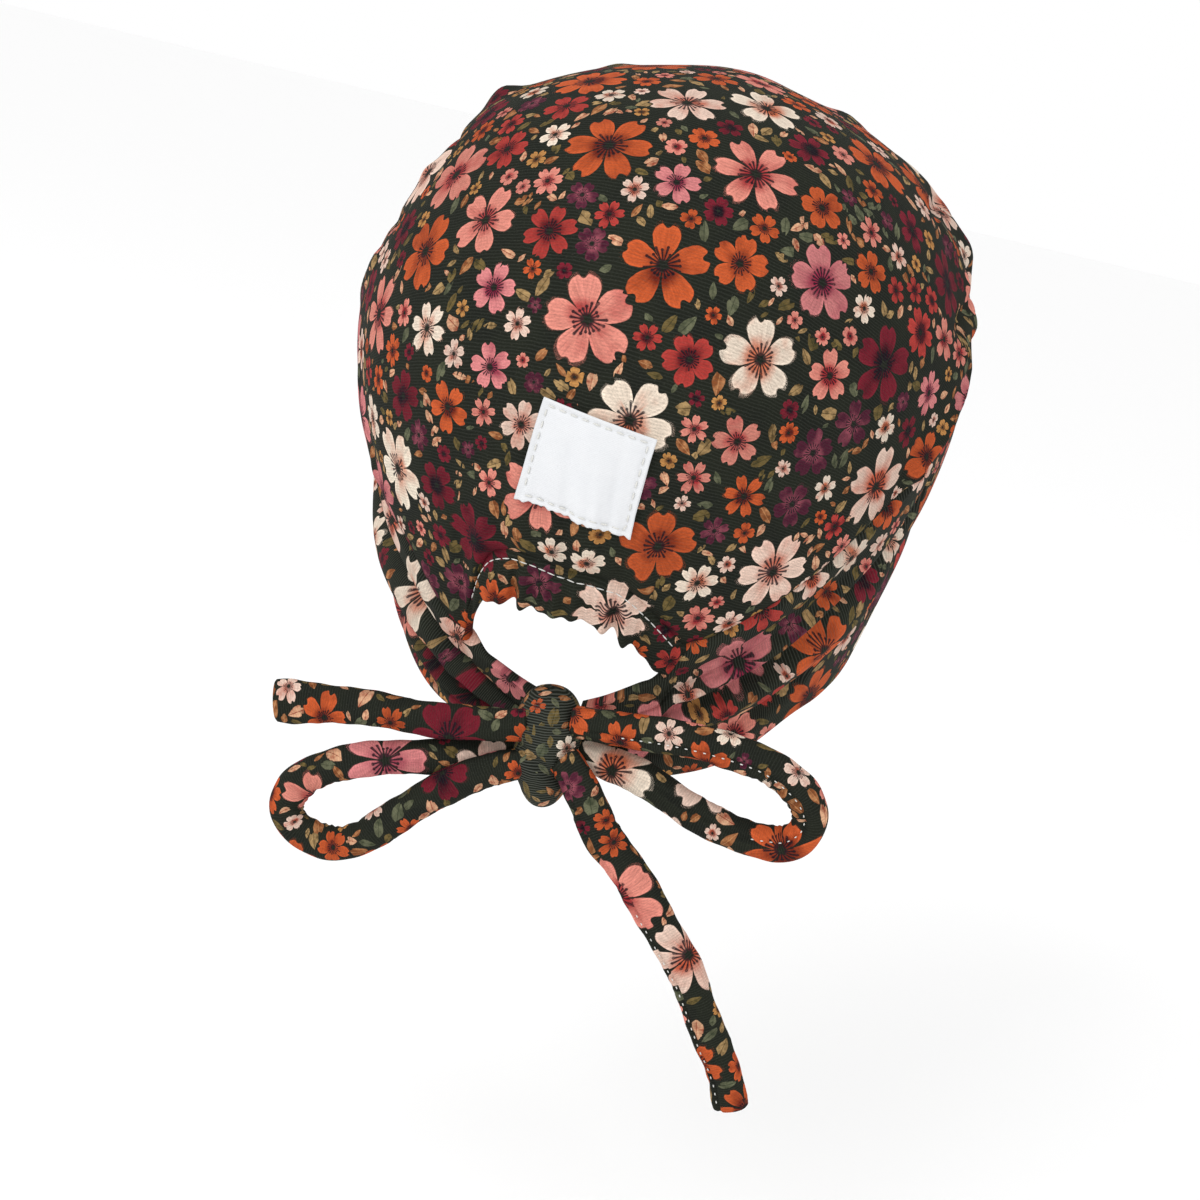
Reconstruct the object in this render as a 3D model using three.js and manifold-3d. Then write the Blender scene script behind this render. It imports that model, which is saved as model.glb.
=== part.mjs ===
import * as THREE from 'three';
import { mergeVertices } from 'three/addons/utils/BufferGeometryUtils.js';
import Module from 'manifold-3d';

// Tie-back cloth cap in its worn form. Millimetres, +Z up, +Y the way the wearer faces, +X the wearer's
// right. The origin is the inside of the crown's top. A turn is an angle from the front, positive to the
// wearer's right, and a drop is a height below the origin.

// Head form, measured inside the cloth
const capWidth = 170;
const capBack = 97;
const capFront = 94;
const capHeight = 180;

// Cloth
const crownWall = 1.6;
const bandWall = 2.2;
const bandEndWall = 4.2;
const casingWall = 3;
const seamGap = 0.3;

// Band, casing and gathers
const bandHeight = 59;
const bandEndTurn = 175.5;
const casingHeight = 13;
const casingRoom = 1.2;
const crownCornerTurn = 155;
const puffHeight = 6;
const foldDepth = 6;
const ruffleDepth = 1.5;

// Label
const labelWidth = 28;
const labelHeight = 25.5;
const labelWall = 0.8;
const labelGap = 0.7;
const labelDepth = 99;
const labelShift = 1.8;
const labelTurn = 7;

// Knot and ties
const knotWidth = 17;
const knotHeight = 32.5;
const knotDepth = 20;
const knotLean = 5;
const knotTaper = 0.08;
const knotSeat = 11;
const knotShift = -1.2;
const knotDrop = 4.5;
const tieDiameter = 8.6;
const tieSides = 8;
const socketGap = 0.3;

// Levels of the head form from the top down: shares of capHeight, half capWidth, capBack and capFront, and the
// sideways shift of the worn cloth there as a share of half capWidth, to the wearer's right
const headRows = [
  { drop: 0, width: 0, back: 0, front: 0, shift: 0 },
  { drop: 0.011, width: 0.17, back: 0.268, front: 0.275, shift: -0.002 },
  { drop: 0.05, width: 0.45, back: 0.536, front: 0.532, shift: -0.01 },
  { drop: 0.122, width: 0.707, back: 0.763, front: 0.745, shift: -0.02 },
  { drop: 0.222, width: 0.853, back: 0.907, front: 0.895, shift: -0.021 },
  { drop: 0.333, width: 0.952, back: 0.98, front: 0.968, shift: -0.03 },
  { drop: 0.444, width: 0.979, back: 1, front: 1, shift: -0.046 },
  { drop: 0.556, width: 0.947, back: 0.99, front: 0.99, shift: -0.04 },
  { drop: 0.656, width: 0.893, back: 0.95, front: 0.936, shift: -0.018 },
  { drop: 0.744, width: 0.842, back: 0.876, front: 0.872, shift: -0.004 },
  { drop: 0.833, width: 0.798, back: 0.794, front: 0.82, shift: -0.001 },
  { drop: 0.922, width: 0.737, back: 0.72, front: 0.755, shift: 0.023 },
  { drop: 1.022, width: 0.644, back: 0.67, front: 0.67, shift: 0.05 },
  { drop: 1.139, width: 0.518, back: 0.64, front: 0.6, shift: 0.079 },
];

// The band's lower edge as a share of capHeight, and its rise from there to the seam as a share of bandHeight.
// The band sits lower on the wearer's left, below zero
const bandRows = [
  { turn: -176, low: 0.995, rise: 0.25 },
  { turn: -170, low: 1.003, rise: 0.3 },
  { turn: -163, low: 1.008, rise: 0.365 },
  { turn: -158, low: 1.007, rise: 0.395 },
  { turn: -155, low: 1.006, rise: 0.435 },
  { turn: -150, low: 1.003, rise: 0.45 },
  { turn: -135, low: 1, rise: 0.71 },
  { turn: -120, low: 0.972, rise: 0.78 },
  { turn: -105, low: 0.917, rise: 0.87 },
  { turn: -90, low: 0.839, rise: 1.08 },
  { turn: -80, low: 0.789, rise: 1.25 },
  { turn: -60, low: 0.644, rise: 1.25 },
  { turn: -30, low: 0.511, rise: 1.05 },
  { turn: 0, low: 0.483, rise: 1 },
  { turn: 30, low: 0.511, rise: 1.05 },
  { turn: 60, low: 0.644, rise: 1.32 },
  { turn: 80, low: 0.775, rise: 1.55 },
  { turn: 90, low: 0.828, rise: 1.63 },
  { turn: 100, low: 0.862, rise: 1.55 },
  { turn: 105, low: 0.872, rise: 1.34 },
  { turn: 110, low: 0.883, rise: 1.15 },
  { turn: 120, low: 0.906, rise: 1 },
  { turn: 135, low: 0.978, rise: 0.905 },
  { turn: 150, low: 1.008, rise: 0.725 },
  { turn: 155, low: 1.009, rise: 0.665 },
  { turn: 158, low: 1.008, rise: 0.52 },
  { turn: 163, low: 1.008, rise: 0.45 },
  { turn: 170, low: 1.003, rise: 0.34 },
  { turn: 176, low: 0.995, rise: 0.25 },
];

// The stitched line where the crown meets the nape casing, as a share of capHeight, and the casing height as a
// share of casingHeight. Turns past 180 are on the wearer's left
const napeRows = [
  { turn: 155, stitch: 0.789, height: 0.8 },
  { turn: 158.5, stitch: 0.771, height: 0.9 },
  { turn: 163, stitch: 0.745, height: 1 },
  { turn: 170, stitch: 0.711, height: 1 },
  { turn: 180, stitch: 0.706, height: 1 },
  { turn: 191.5, stitch: 0.699, height: 1.1 },
  { turn: 197, stitch: 0.713, height: 0.95 },
  { turn: 200, stitch: 0.742, height: 0.8 },
  { turn: 202.5, stitch: 0.795, height: 0.55 },
  { turn: 205, stitch: 0.862, height: 0.4 },
];

// Gathered puffs along the crown edge: place and half width in degrees, height as a share of puffHeight, and
// reach from the edge as a share of the way to the top
const puffRows = [
  { turn: -104, spread: 6, height: 0.25, reach: 0.35 },
  { turn: -89, spread: 5.5, height: 0.5, reach: 0.4 },
  { turn: -75, spread: 6, height: 1.1, reach: 0.5 },
  { turn: -61, spread: 4.5, height: 1.05, reach: 0.48 },
  { turn: -47, spread: 6, height: 1.45, reach: 0.52 },
  { turn: -32, spread: 5, height: 1.05, reach: 0.45 },
  { turn: -18, spread: 5.5, height: 1.1, reach: 0.5 },
  { turn: -4, spread: 5, height: 0.8, reach: 0.42 },
  { turn: 11, spread: 5.5, height: 1.15, reach: 0.5 },
  { turn: 25, spread: 5, height: 1.05, reach: 0.48 },
  { turn: 39, spread: 5.5, height: 1.15, reach: 0.5 },
  { turn: 54, spread: 5, height: 0.8, reach: 0.5 },
  { turn: 69, spread: 5.5, height: 0.75, reach: 0.46 },
  { turn: 82, spread: 4.5, height: 0.6, reach: 0.4 },
  { turn: 93, spread: 5, height: 0.6, reach: 0.32 },
  { turn: 106, spread: 5, height: 0.35, reach: 0.3 },
  { turn: 160, spread: 2.2, height: 0.25, reach: 0.12 },
  { turn: 166, spread: 2.4, height: 0.4, reach: 0.16 },
  { turn: 172, spread: 2.2, height: 0.3, reach: 0.14 },
  { turn: 178, spread: 2.4, height: 0.35, reach: 0.16 },
  { turn: 184, spread: 2.2, height: 0.25, reach: 0.12 },
  { turn: 190, spread: 2.6, height: 0.5, reach: 0.2 },
  { turn: 197, spread: 2.4, height: 0.3, reach: 0.14 },
];

// Lengthwise folds of the band: from one place to another, turn in degrees and height as a share of the way
// from the lower edge to the seam. Depth is a share of foldDepth, below zero for a roll that stands out, and
// width a share of the band's own height there
const foldRows = [
  { turnA: 100, heightA: 0.64, turnB: 172, heightB: 0.52, depth: 1, width: 0.06 },
  { turnA: 104, heightA: 0.44, turnB: 172, heightB: 0.36, depth: -0.4, width: 0.12 },
  { turnA: 120, heightA: 0.24, turnB: 172, heightB: 0.2, depth: 0.8, width: 0.06 },
  { turnA: 66, heightA: 0.5, turnB: 122, heightB: 0.3, depth: 0.5, width: 0.07 },
  { turnA: 116, heightA: 0.82, turnB: 168, heightB: 0.76, depth: 0.4, width: 0.06 },
  { turnA: -98, heightA: 0.86, turnB: -172, heightB: 0.62, depth: 1, width: 0.06 },
  { turnA: -102, heightA: 0.64, turnB: -172, heightB: 0.44, depth: -0.4, width: 0.12 },
  { turnA: -116, heightA: 0.42, turnB: -172, heightB: 0.24, depth: 0.7, width: 0.06 },
  { turnA: -64, heightA: 0.45, turnB: -118, heightB: 0.28, depth: 0.5, width: 0.07 },
  { turnA: -40, heightA: 0.3, turnB: 38, heightB: 0.34, depth: 0.25, width: 0.06 },
];

// Routes of the ties, points chosen by hand from the knot outwards
const rightLoopRoute = [
  [7.6, -83.5, -166.3], [13.3, -84.5, -165.5], [23.3, -86, -163.8], [32.4, -87.5, -162.2], [42, -88.7, -161.2],
  [51.1, -89, -161.2], [58.3, -89, -162], [64.3, -88.4, -164.5], [69.2, -87.4, -168], [72, -86, -172.8],
  [71.6, -84.8, -177.7], [67.9, -83.6, -182.3], [61.1, -82.8, -184], [54, -82.2, -184.1],
  [44.7, -81.6, -182.4], [35, -81, -179.3], [25.2, -80.2, -176.8], [17.8, -79.2, -176.2], [13, -78.4, -175.9],
  [8.4, -77.7, -175.5],
];
const leftLoopRoute = [
  [-4.8, -77.6, -179.3], [-9.2, -78.2, -181], [-16.5, -80, -183.4], [-25.7, -83, -185.8],
  [-34.7, -85.6, -187.9], [-43.8, -87.4, -190.9], [-51.9, -88.2, -194.7], [-58.7, -88.2, -200.3],
  [-61.7, -87.6, -207.4], [-59.8, -87, -212.8], [-53.7, -86.5, -215.8], [-46.7, -86.2, -216.1],
  [-40.4, -86, -212.5], [-34.4, -86, -206.1], [-28.7, -86, -200.2], [-23, -86, -194.2], [-17.3, -85.6, -189],
  [-11.5, -85, -185], [-7.2, -84.5, -182.8], [-2.1, -84, -180.6],
];
const leftTailRoute = [
  [-3.7, -84.6, -170.3], [-7.7, -85, -171.4], [-14, -85.8, -172.7], [-23.4, -86.8, -174.3],
  [-33.3, -87.6, -175.5], [-43.1, -88.2, -176.2], [-56.4, -88.8, -178.1], [-68.5, -89.2, -180.9],
];
const rightTailRoute = [
  [7.3, -86, -175.9], [10.1, -86.4, -178], [17.2, -87.4, -186.1], [22, -87.8, -192.4], [28.4, -88, -197.9],
  [34.8, -88, -203.8], [44.9, -87.4, -215.1], [51.8, -87, -223.1], [56.8, -86.6, -230.9], [61.9, -86, -239.1],
  [67.3, -85.4, -247.3], [71, -84.8, -255.2],
];

const degrees = Math.PI / 180;

function splineValue(rows, key, place) {
  const i = Math.min(Math.max(Math.floor(place), 0), rows.length - 2);
  const f = place - i;
  const b = rows[i][key];
  const c = rows[i + 1][key];
  const mirrored = key === 'drop' || key === 'shift';
  const a = i > 0 ? rows[i - 1][key] : mirrored ? c : -c;
  const d = i + 2 < rows.length ? rows[i + 2][key] : 2 * c - b;
  return 0.5 * (2 * b + (c - a) * f + (2 * a - 5 * b + 4 * c - d) * f * f + (3 * b - a - 3 * c + d) * f ** 3);
}

function rowValue(rows, key, turn) {
  const last = rows.length - 2;
  const i = Math.min(Math.max(rows.findIndex((row) => row.turn > turn) - 1, 0), last);
  const at = turn >= rows[last + 1].turn ? last : i;
  const slope = (k) => {
    const lower = rows[Math.max(k - 1, 0)];
    const upper = rows[Math.min(k + 1, last + 1)];
    return (upper[key] - lower[key]) / (upper.turn - lower.turn);
  };
  const span = rows[at + 1].turn - rows[at].turn;
  const f = Math.min(Math.max((turn - rows[at].turn) / span, 0), 1);
  const rise = rows[at + 1][key] - rows[at][key];
  const start = at === 0 ? 0 : slope(at) * span;
  const end = at === last ? rise : slope(at + 1) * span;
  return rows[at][key] + start * f + (3 * rise - 2 * start - end) * f * f + (start + end - 2 * rise) * f ** 3;
}

// Head form: a place is a turn and a level, and a level is a row of headRows with a fraction
function formPoint(turn, level) {
  const width = (capWidth / 2) * splineValue(headRows, 'width', level);
  const shift = (capWidth / 2) * splineValue(headRows, 'shift', level);
  const depthKey = Math.cos(turn * degrees) > 0 ? 'front' : 'back';
  const depth = (depthKey === 'front' ? capFront : capBack) * splineValue(headRows, depthKey, level);
  const drop = capHeight * splineValue(headRows, 'drop', level);
  return new THREE.Vector3(width * Math.sin(turn * degrees) + shift, depth * Math.cos(turn * degrees), -drop);
}

function formNormal(turn, level) {
  const step = 0.02;
  if (level < step) return new THREE.Vector3(0, 0, 1);
  const across = formPoint(turn + 1, level).sub(formPoint(turn - 1, level));
  const down = formPoint(turn, level + step).sub(formPoint(turn, level - step));
  return across.cross(down).normalize();
}

function clothPoint(turn, level, lift) {
  return formPoint(turn, level).addScaledVector(formNormal(turn, level), lift);
}

function levelAtDrop(drop) {
  let low = 0;
  let high = headRows.length - 1;
  while (high - low > 1e-5) {
    const middle = (low + high) / 2;
    if (capHeight * splineValue(headRows, 'drop', middle) < drop) low = middle;
    else high = middle;
  }
  return low;
}

// Edges of the pieces, as drops at a turn of -180 to 180
function bandLowDrop(turn) {
  return capHeight * rowValue(bandRows, 'low', turn);
}

function bandTopDrop(turn) {
  return bandLowDrop(turn) - bandHeight * rowValue(bandRows, 'rise', turn) + seamGap / 2;
}

function stitchDrop(turn) {
  return capHeight * rowValue(napeRows, 'stitch', turn < 0 ? turn + 360 : turn);
}

function crownEdgeDrop(turn) {
  if (Math.abs(turn) < crownCornerTurn) return bandTopDrop(turn) - seamGap;
  return stitchDrop(turn) - seamGap / 2;
}

// Height of the gathers above the head form, at a share of the way from the crown's top to its edge
function crownLift(turn, share) {
  let lift = 0;
  for (const puff of puffRows) {
    const away = ((((turn - puff.turn) % 360) + 540) % 360 - 180) / puff.spread;
    const inward = (1 - share) / puff.reach;
    lift += puffHeight * puff.height * Math.exp(-away * away) * 5.2 * inward * Math.exp(-4 * inward * inward);
  }
  return lift;
}

function bandLift(turn, share) {
  const ends = 1 - THREE.MathUtils.smoothstep(Math.abs(turn), 162, 175);
  const edges = Math.min(share, 1 - share) * 8;
  let lift = 0;
  for (const fold of foldRows) {
    const along = (turn - fold.turnA) / (fold.turnB - fold.turnA);
    if (along < 0 || along > 1) continue;
    const height = THREE.MathUtils.lerp(fold.heightA, fold.heightB, along);
    const away = (share - height) / fold.width;
    lift -= foldDepth * fold.depth * Math.sin(Math.PI * Math.sqrt(along)) * Math.exp(-away * away);
  }
  return Math.max(lift, -0.8 * foldDepth) * ends * Math.min(edges, 1);
}

// A closed wall between two grids of points. Columns follow the turn and rows go down. A round wall closes on
// itself, and a domed one has its first row drawn together at the top
function wallGeometry(outer, inner, round, domed) {
  const columns = outer.length;
  const rows = outer[0].length;
  const points = [];
  const number = [outer, inner].map((grid) => grid.map((column) => column.map((point, row) => {
    if (domed && row === 0 && column !== grid[0]) return -1;
    points.push(point.x, point.y, point.z);
    return points.length / 3 - 1;
  })));
  const faces = [];
  const at = (side, i, j) => number[side][domed && j === 0 ? 0 : i % columns][j];
  const quad = (a, b, c, d) => {
    if (a !== b) faces.push(a, b, c);
    if (c !== d) faces.push(a, c, d);
  };
  const spans = round ? columns : columns - 1;
  for (let i = 0; i < spans; i += 1) {
    for (let j = 0; j < rows - 1; j += 1) {
      quad(at(0, i, j), at(0, i + 1, j), at(0, i + 1, j + 1), at(0, i, j + 1));
      quad(at(1, i, j + 1), at(1, i + 1, j + 1), at(1, i + 1, j), at(1, i, j));
    }
    const end = rows - 1;
    quad(at(0, i, end), at(0, i + 1, end), at(1, i + 1, end), at(1, i, end));
    if (!domed) quad(at(0, i + 1, 0), at(0, i, 0), at(1, i, 0), at(1, i + 1, 0));
  }
  if (!round) {
    const end = columns - 1;
    for (let j = 0; j < rows - 1; j += 1) {
      quad(at(0, 0, j), at(0, 0, j + 1), at(1, 0, j + 1), at(1, 0, j));
      quad(at(0, end, j + 1), at(0, end, j), at(1, end, j), at(1, end, j + 1));
    }
  }
  const geometry = new THREE.BufferGeometry();
  geometry.setAttribute('position', new THREE.Float32BufferAttribute(points, 3));
  geometry.setIndex(faces);
  return geometry;
}

function spaced(start, end, step) {
  const count = Math.round((end - start) / step);
  return Array.from({ length: count + 1 }, (_, i) => start + ((end - start) * i) / count);
}

// The crown shares its places with the band along the seam and with the casing at the nape, so that the gaps
// stay even
const seamTurns = spaced(-crownCornerTurn, crownCornerTurn, 4.1);
const napeTurns = spaced(crownCornerTurn, 360 - crownCornerTurn, 2).slice(1, -1);

function makeCrown() {
  const shares = [0, 0.14, 0.3, 0.46, 0.6, 0.71, 0.8, 0.87, 0.93, 0.97, 1];
  const grid = (wall) => [...seamTurns, ...napeTurns].map((turn) => {
    const edge = levelAtDrop(crownEdgeDrop(turn > 180 ? turn - 360 : turn));
    return shares.map((share) => clothPoint(turn, edge * share, wall + crownLift(turn, share)));
  });
  return wallGeometry(grid(crownWall), grid(0), true, true);
}

// The band with its two strap ends. Growing it on all sides gives the room that it needs in the knot
function makeBand(grow = 0) {
  const strap = spaced(crownCornerTurn, bandEndTurn + grow / 1.2, 2).slice(1);
  const turns = [...strap.map((turn) => -turn).reverse(), ...seamTurns, ...strap];
  const shares = [0, 0.12, 0.24, 0.36, 0.48, 0.6, 0.72, 0.86, 1];
  const grid = (outside) => turns.map((turn) => {
    const thick = THREE.MathUtils.smoothstep(Math.abs(turn), crownCornerTurn, bandEndTurn);
    const wall = THREE.MathUtils.lerp(bandWall, bandEndWall, thick);
    const top = levelAtDrop(bandTopDrop(turn) - grow);
    const low = levelAtDrop(bandLowDrop(turn) + grow);
    return shares.map((share) => {
      const lift = outside ? wall + grow : -grow;
      return clothPoint(turn, THREE.MathUtils.lerp(top, low, share), lift + bandLift(turn, 1 - share));
    });
  });
  return wallGeometry(grid(true), grid(false), false, false);
}

function makeCasing() {
  const shares = [0, 0.5, 1];
  const grid = (wall) => napeTurns.map((turn, i) => {
    const side = turn > 180 ? turn - 360 : turn;
    const top = stitchDrop(side) + seamGap / 2;
    const ruffle = ruffleDepth * (i % 3 === 1 ? 1 : -0.5);
    const hem = top + casingHeight * rowValue(napeRows, 'height', turn) + 0.6 * ruffle;
    const low = Math.min(hem, bandTopDrop(side) - casingRoom);
    return shares.map((share) => {
      const level = levelAtDrop(THREE.MathUtils.lerp(top, low, share));
      return clothPoint(turn, level, wall + ruffle * share);
    });
  });
  return wallGeometry(grid(casingWall), grid(0), false, false);
}

function makeLabel() {
  const across = spaced(-labelWidth / 2, labelWidth / 2, labelWidth / 6).reverse();
  const down = spaced(-labelHeight / 2, labelHeight / 2, labelHeight / 5).reverse();
  const edge = levelAtDrop(crownEdgeDrop(180));
  const seat = crownWall + labelGap;
  const grid = (wall) => across.map((a) => down.map((b) => {
    const x = a * Math.cos(labelTurn * degrees) + b * Math.sin(labelTurn * degrees);
    const rise = b * Math.cos(labelTurn * degrees) - a * Math.sin(labelTurn * degrees);
    const level = levelAtDrop(labelDepth - rise);
    const halfWidth = (capWidth / 2) * splineValue(headRows, 'width', level);
    const turn = 180 - Math.asin((x + labelShift) / halfWidth) / degrees;
    return clothPoint(turn, level, seat + wall + crownLift(turn, level / edge));
  }));
  return wallGeometry(grid(labelWall), grid(0), false, false);
}

function makeTie(route, grow = 0) {
  const points = route.map((point) => new THREE.Vector3(...point));
  const last = points.length - 1;
  const lengthen = (end, next) => end.addScaledVector(end.clone().sub(next).normalize(), grow);
  lengthen(points[0], points[1]);
  lengthen(points[last], points[last - 1]);
  const path = new THREE.CatmullRomCurve3(points);
  const radius = tieDiameter / 2 + grow;
  const section = new THREE.Shape();
  for (let i = 0; i < tieSides; i += 1) {
    const angle = (2 * Math.PI * (i + 0.5)) / tieSides;
    section[i === 0 ? 'moveTo' : 'lineTo'](radius * Math.cos(angle), radius * Math.sin(angle));
  }
  const steps = Math.round(path.getLength() / (0.8 * tieDiameter));
  return new THREE.ExtrudeGeometry(section, { steps, extrudePath: path, bevelEnabled: false });
}

const wasm = await Module();
wasm.setup();

function toSolid(geometry) {
  const bare = geometry.clone();
  bare.deleteAttribute('normal');
  bare.deleteAttribute('uv');
  const merged = mergeVertices(bare, 1e-4);
  const mesh = new wasm.Mesh({
    numProp: 3,
    vertProperties: new Float32Array(merged.attributes.position.array),
    triVerts: new Uint32Array(merged.index.array),
  });
  return new wasm.Manifold(mesh);
}

function toGeometry(solid) {
  const mesh = solid.getMesh();
  const geometry = new THREE.BufferGeometry();
  geometry.setAttribute('position', new THREE.BufferAttribute(mesh.vertProperties, 3));
  geometry.setIndex(new THREE.BufferAttribute(mesh.triVerts, 1));
  return geometry;
}

// The knot: a leaning lump, wider above, with a socket for each tie and each strap end
function makeKnot() {
  const lump = new THREE.SphereGeometry(1, 18, 12);
  lump.rotateX(Math.PI / 2);
  const place = lump.attributes.position;
  for (let i = 0; i < place.count; i += 1) {
    const height = place.getZ(i);
    const wide = (knotWidth / 2) * (1 + knotTaper * height);
    place.setXYZ(i, place.getX(i) * wide, place.getY(i) * (knotDepth / 2), height * (knotHeight / 2));
  }
  lump.rotateY(-knotLean * degrees);
  const middle = (bandTopDrop(bandEndTurn) + bandLowDrop(bandEndTurn)) / 2;
  const seat = formPoint(180, levelAtDrop(middle));
  lump.translate(seat.x + knotShift, seat.y - knotSeat, seat.z - knotDrop);
  let solid = toSolid(lump).subtract(toSolid(makeBand(socketGap)));
  for (const route of [rightLoopRoute, leftLoopRoute, leftTailRoute, rightTailRoute]) {
    solid = solid.subtract(toSolid(makeTie(route, socketGap)));
  }
  return toGeometry(solid);
}

const printedJersey = { color: 0x2b2f27, roughness: 0.9, metalness: 0 };
const wovenSatin = { color: 0xeeeeec, roughness: 0.55, metalness: 0 };

const group = new THREE.Group();

function addPiece(name, geometry, finish) {
  const piece = new THREE.Mesh(geometry, new THREE.MeshStandardMaterial(finish));
  piece.name = name;
  group.add(piece);
}

addPiece('crown', makeCrown(), printedJersey);
addPiece('brow_band', makeBand(), printedJersey);
addPiece('nape_casing', makeCasing(), printedJersey);
addPiece('label', makeLabel(), wovenSatin);
addPiece('knot', makeKnot(), printedJersey);
addPiece('right_loop', makeTie(rightLoopRoute), printedJersey);
addPiece('left_loop', makeTie(leftLoopRoute), printedJersey);
addPiece('left_tail', makeTie(leftTailRoute), printedJersey);
addPiece('right_tail', makeTie(rightTailRoute), printedJersey);

export default group;
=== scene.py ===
import math

import bmesh
import bpy
import numpy as np
from mathutils import Matrix, Vector


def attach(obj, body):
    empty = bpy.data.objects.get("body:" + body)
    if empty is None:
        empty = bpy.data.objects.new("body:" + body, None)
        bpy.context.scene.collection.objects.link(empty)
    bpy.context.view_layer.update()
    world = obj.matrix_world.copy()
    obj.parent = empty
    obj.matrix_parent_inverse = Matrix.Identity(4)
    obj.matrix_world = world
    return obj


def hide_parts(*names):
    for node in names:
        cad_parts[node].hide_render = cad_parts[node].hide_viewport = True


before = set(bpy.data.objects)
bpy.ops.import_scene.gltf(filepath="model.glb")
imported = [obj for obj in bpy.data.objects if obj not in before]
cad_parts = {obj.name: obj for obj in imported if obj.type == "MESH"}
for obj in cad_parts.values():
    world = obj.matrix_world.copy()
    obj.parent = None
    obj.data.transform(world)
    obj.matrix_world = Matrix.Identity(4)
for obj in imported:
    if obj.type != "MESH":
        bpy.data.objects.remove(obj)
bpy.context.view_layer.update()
mm = 0.001  # the tables below are in millimetres, the scene in metres
print("frame loaded")

# ---- camera
view = {"azimuth": 8.6, "elevation": 14.0, "roll": 13.0, "lens": 60.0, "place": (0.0803, -0.5675, -0.0116)}


def makeCamera():
    az, el, roll = (math.radians(view[key]) for key in ("azimuth", "elevation", "roll"))
    right = Vector((math.cos(az), math.sin(az), 0))
    up = Vector((-math.sin(az) * math.sin(el), math.cos(az) * math.sin(el), math.cos(el)))
    back = Vector((math.sin(az) * math.cos(el), -math.cos(az) * math.cos(el), math.sin(el)))
    pictureRight = math.cos(roll) * right + math.sin(roll) * up
    pictureUp = math.cos(roll) * up - math.sin(roll) * right
    data = bpy.data.cameras.new("camera")
    data.sensor_width = 36
    data.lens = view["lens"]
    data.clip_start = 0.02
    data.clip_end = 40
    camera = bpy.data.objects.new("camera", data)
    turned = Matrix((pictureRight, pictureUp, back)).transposed().to_4x4()
    camera.matrix_world = Matrix.Translation(Vector(view["place"])) @ turned
    bpy.context.collection.objects.link(camera)
    bpy.context.scene.camera = camera


makeCamera()


# ---- shader tools: a wire wraps a socket, and sums on wires add Math nodes
class Wire:
    def __init__(self, paint, socket):
        self.paint = paint
        self.socket = socket

    def math(self, operation, *others):
        values = dict(enumerate((self,) + others))
        return self.paint.node("ShaderNodeMath", {"operation": operation}, values)

    def __add__(self, other):
        return self.math("ADD", other)

    def __sub__(self, other):
        return self.math("SUBTRACT", other)

    def __rsub__(self, other):
        return self.paint.node("ShaderNodeMath", {"operation": "SUBTRACT"}, {0: other, 1: self})

    def __mul__(self, other):
        return self.math("MULTIPLY", other)

    def __truediv__(self, other):
        return self.math("DIVIDE", other)

    def __mod__(self, other):
        return self.math("FLOORED_MODULO", other)

    __radd__ = __add__
    __rmul__ = __mul__

    def floor(self):
        return self.math("FLOOR")

    def size(self):
        return self.math("ABSOLUTE")

    def sine(self):
        return self.math("SINE")

    def cosine(self):
        return self.math("COSINE")

    def root(self):
        return self.math("SQRT")

    def least(self, other):
        return self.math("MINIMUM", other)

    def most(self, other):
        return self.math("MAXIMUM", other)

    def blend(self, low, high):
        # 0 below low and 1 above high, or the other way round where low is the greater
        flip = low > high
        step = self.paint.node(
            "ShaderNodeMapRange",
            {"interpolation_type": "SMOOTHSTEP"},
            {"Value": self, "From Min": min(low, high), "From Max": max(low, high)},
        )
        return 1 - step if flip else step


class Paint:
    def __init__(self, name):
        self.material = bpy.data.materials.new(name)
        self.material.use_nodes = True
        self.tree = self.material.node_tree
        self.surface = self.tree.nodes["Principled BSDF"]

    def node(self, kind, settings=None, sockets=None, out=0):
        made = self.tree.nodes.new(kind)
        for key, value in (settings or {}).items():
            setattr(made, key, value)
        for key, value in (sockets or {}).items():
            if isinstance(value, Wire):
                self.tree.links.new(value.socket, made.inputs[key])
            else:
                made.inputs[key].default_value = value
        return Wire(self, made.outputs[out])

    def mix(self, share, first, second):
        return self.node("ShaderNodeMix", {"data_type": "RGBA"}, {0: share, 6: first, 7: second}, 2)

    def scale(self, colour, factor):
        return self.node("ShaderNodeVectorMath", {"operation": "SCALE"}, {0: colour, 3: factor})

    def vector(self, x, y, z=0.0):
        return self.node("ShaderNodeCombineXYZ", {}, {0: x, 1: y, 2: z})

    def parts(self, vector):
        made = self.tree.nodes.new("ShaderNodeSeparateXYZ")
        self.tree.links.new(vector.socket, made.inputs[0])
        return [Wire(self, made.outputs[i]) for i in range(3)]

    def noise(self, vector, scale, detail=2.0, rough=0.5):
        return self.node(
            "ShaderNodeTexNoise", {}, {"Vector": vector, "Scale": scale, "Detail": detail, "Roughness": rough}
        )

    def finish(self, sockets):
        for key, value in sockets.items():
            if isinstance(value, Wire):
                self.tree.links.new(value.socket, self.surface.inputs[key])
            else:
                self.surface.inputs[key].default_value = value
        return self.material


def paintColour(red, green, blue):
    # a screen colour of 0 to 255 as the shader's linear colour
    parts = [c / 255 for c in (red, green, blue)]
    linear = [c / 12.92 if c <= 0.04045 else ((c + 0.055) / 1.055) ** 2.4 for c in parts]
    return (*linear, 1.0)


# ---- printed jersey
jersey = {
    "ground": paintColour(37, 40, 32),
    "shade": paintColour(25, 27, 26),
    "fuzz": paintColour(84, 86, 74),
    "stretched": paintColour(150, 155, 144),
    "ribPitch": 0.82,
    "ink": paintColour(26, 22, 32),
    "pollen": paintColour(236, 214, 184),
}


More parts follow.
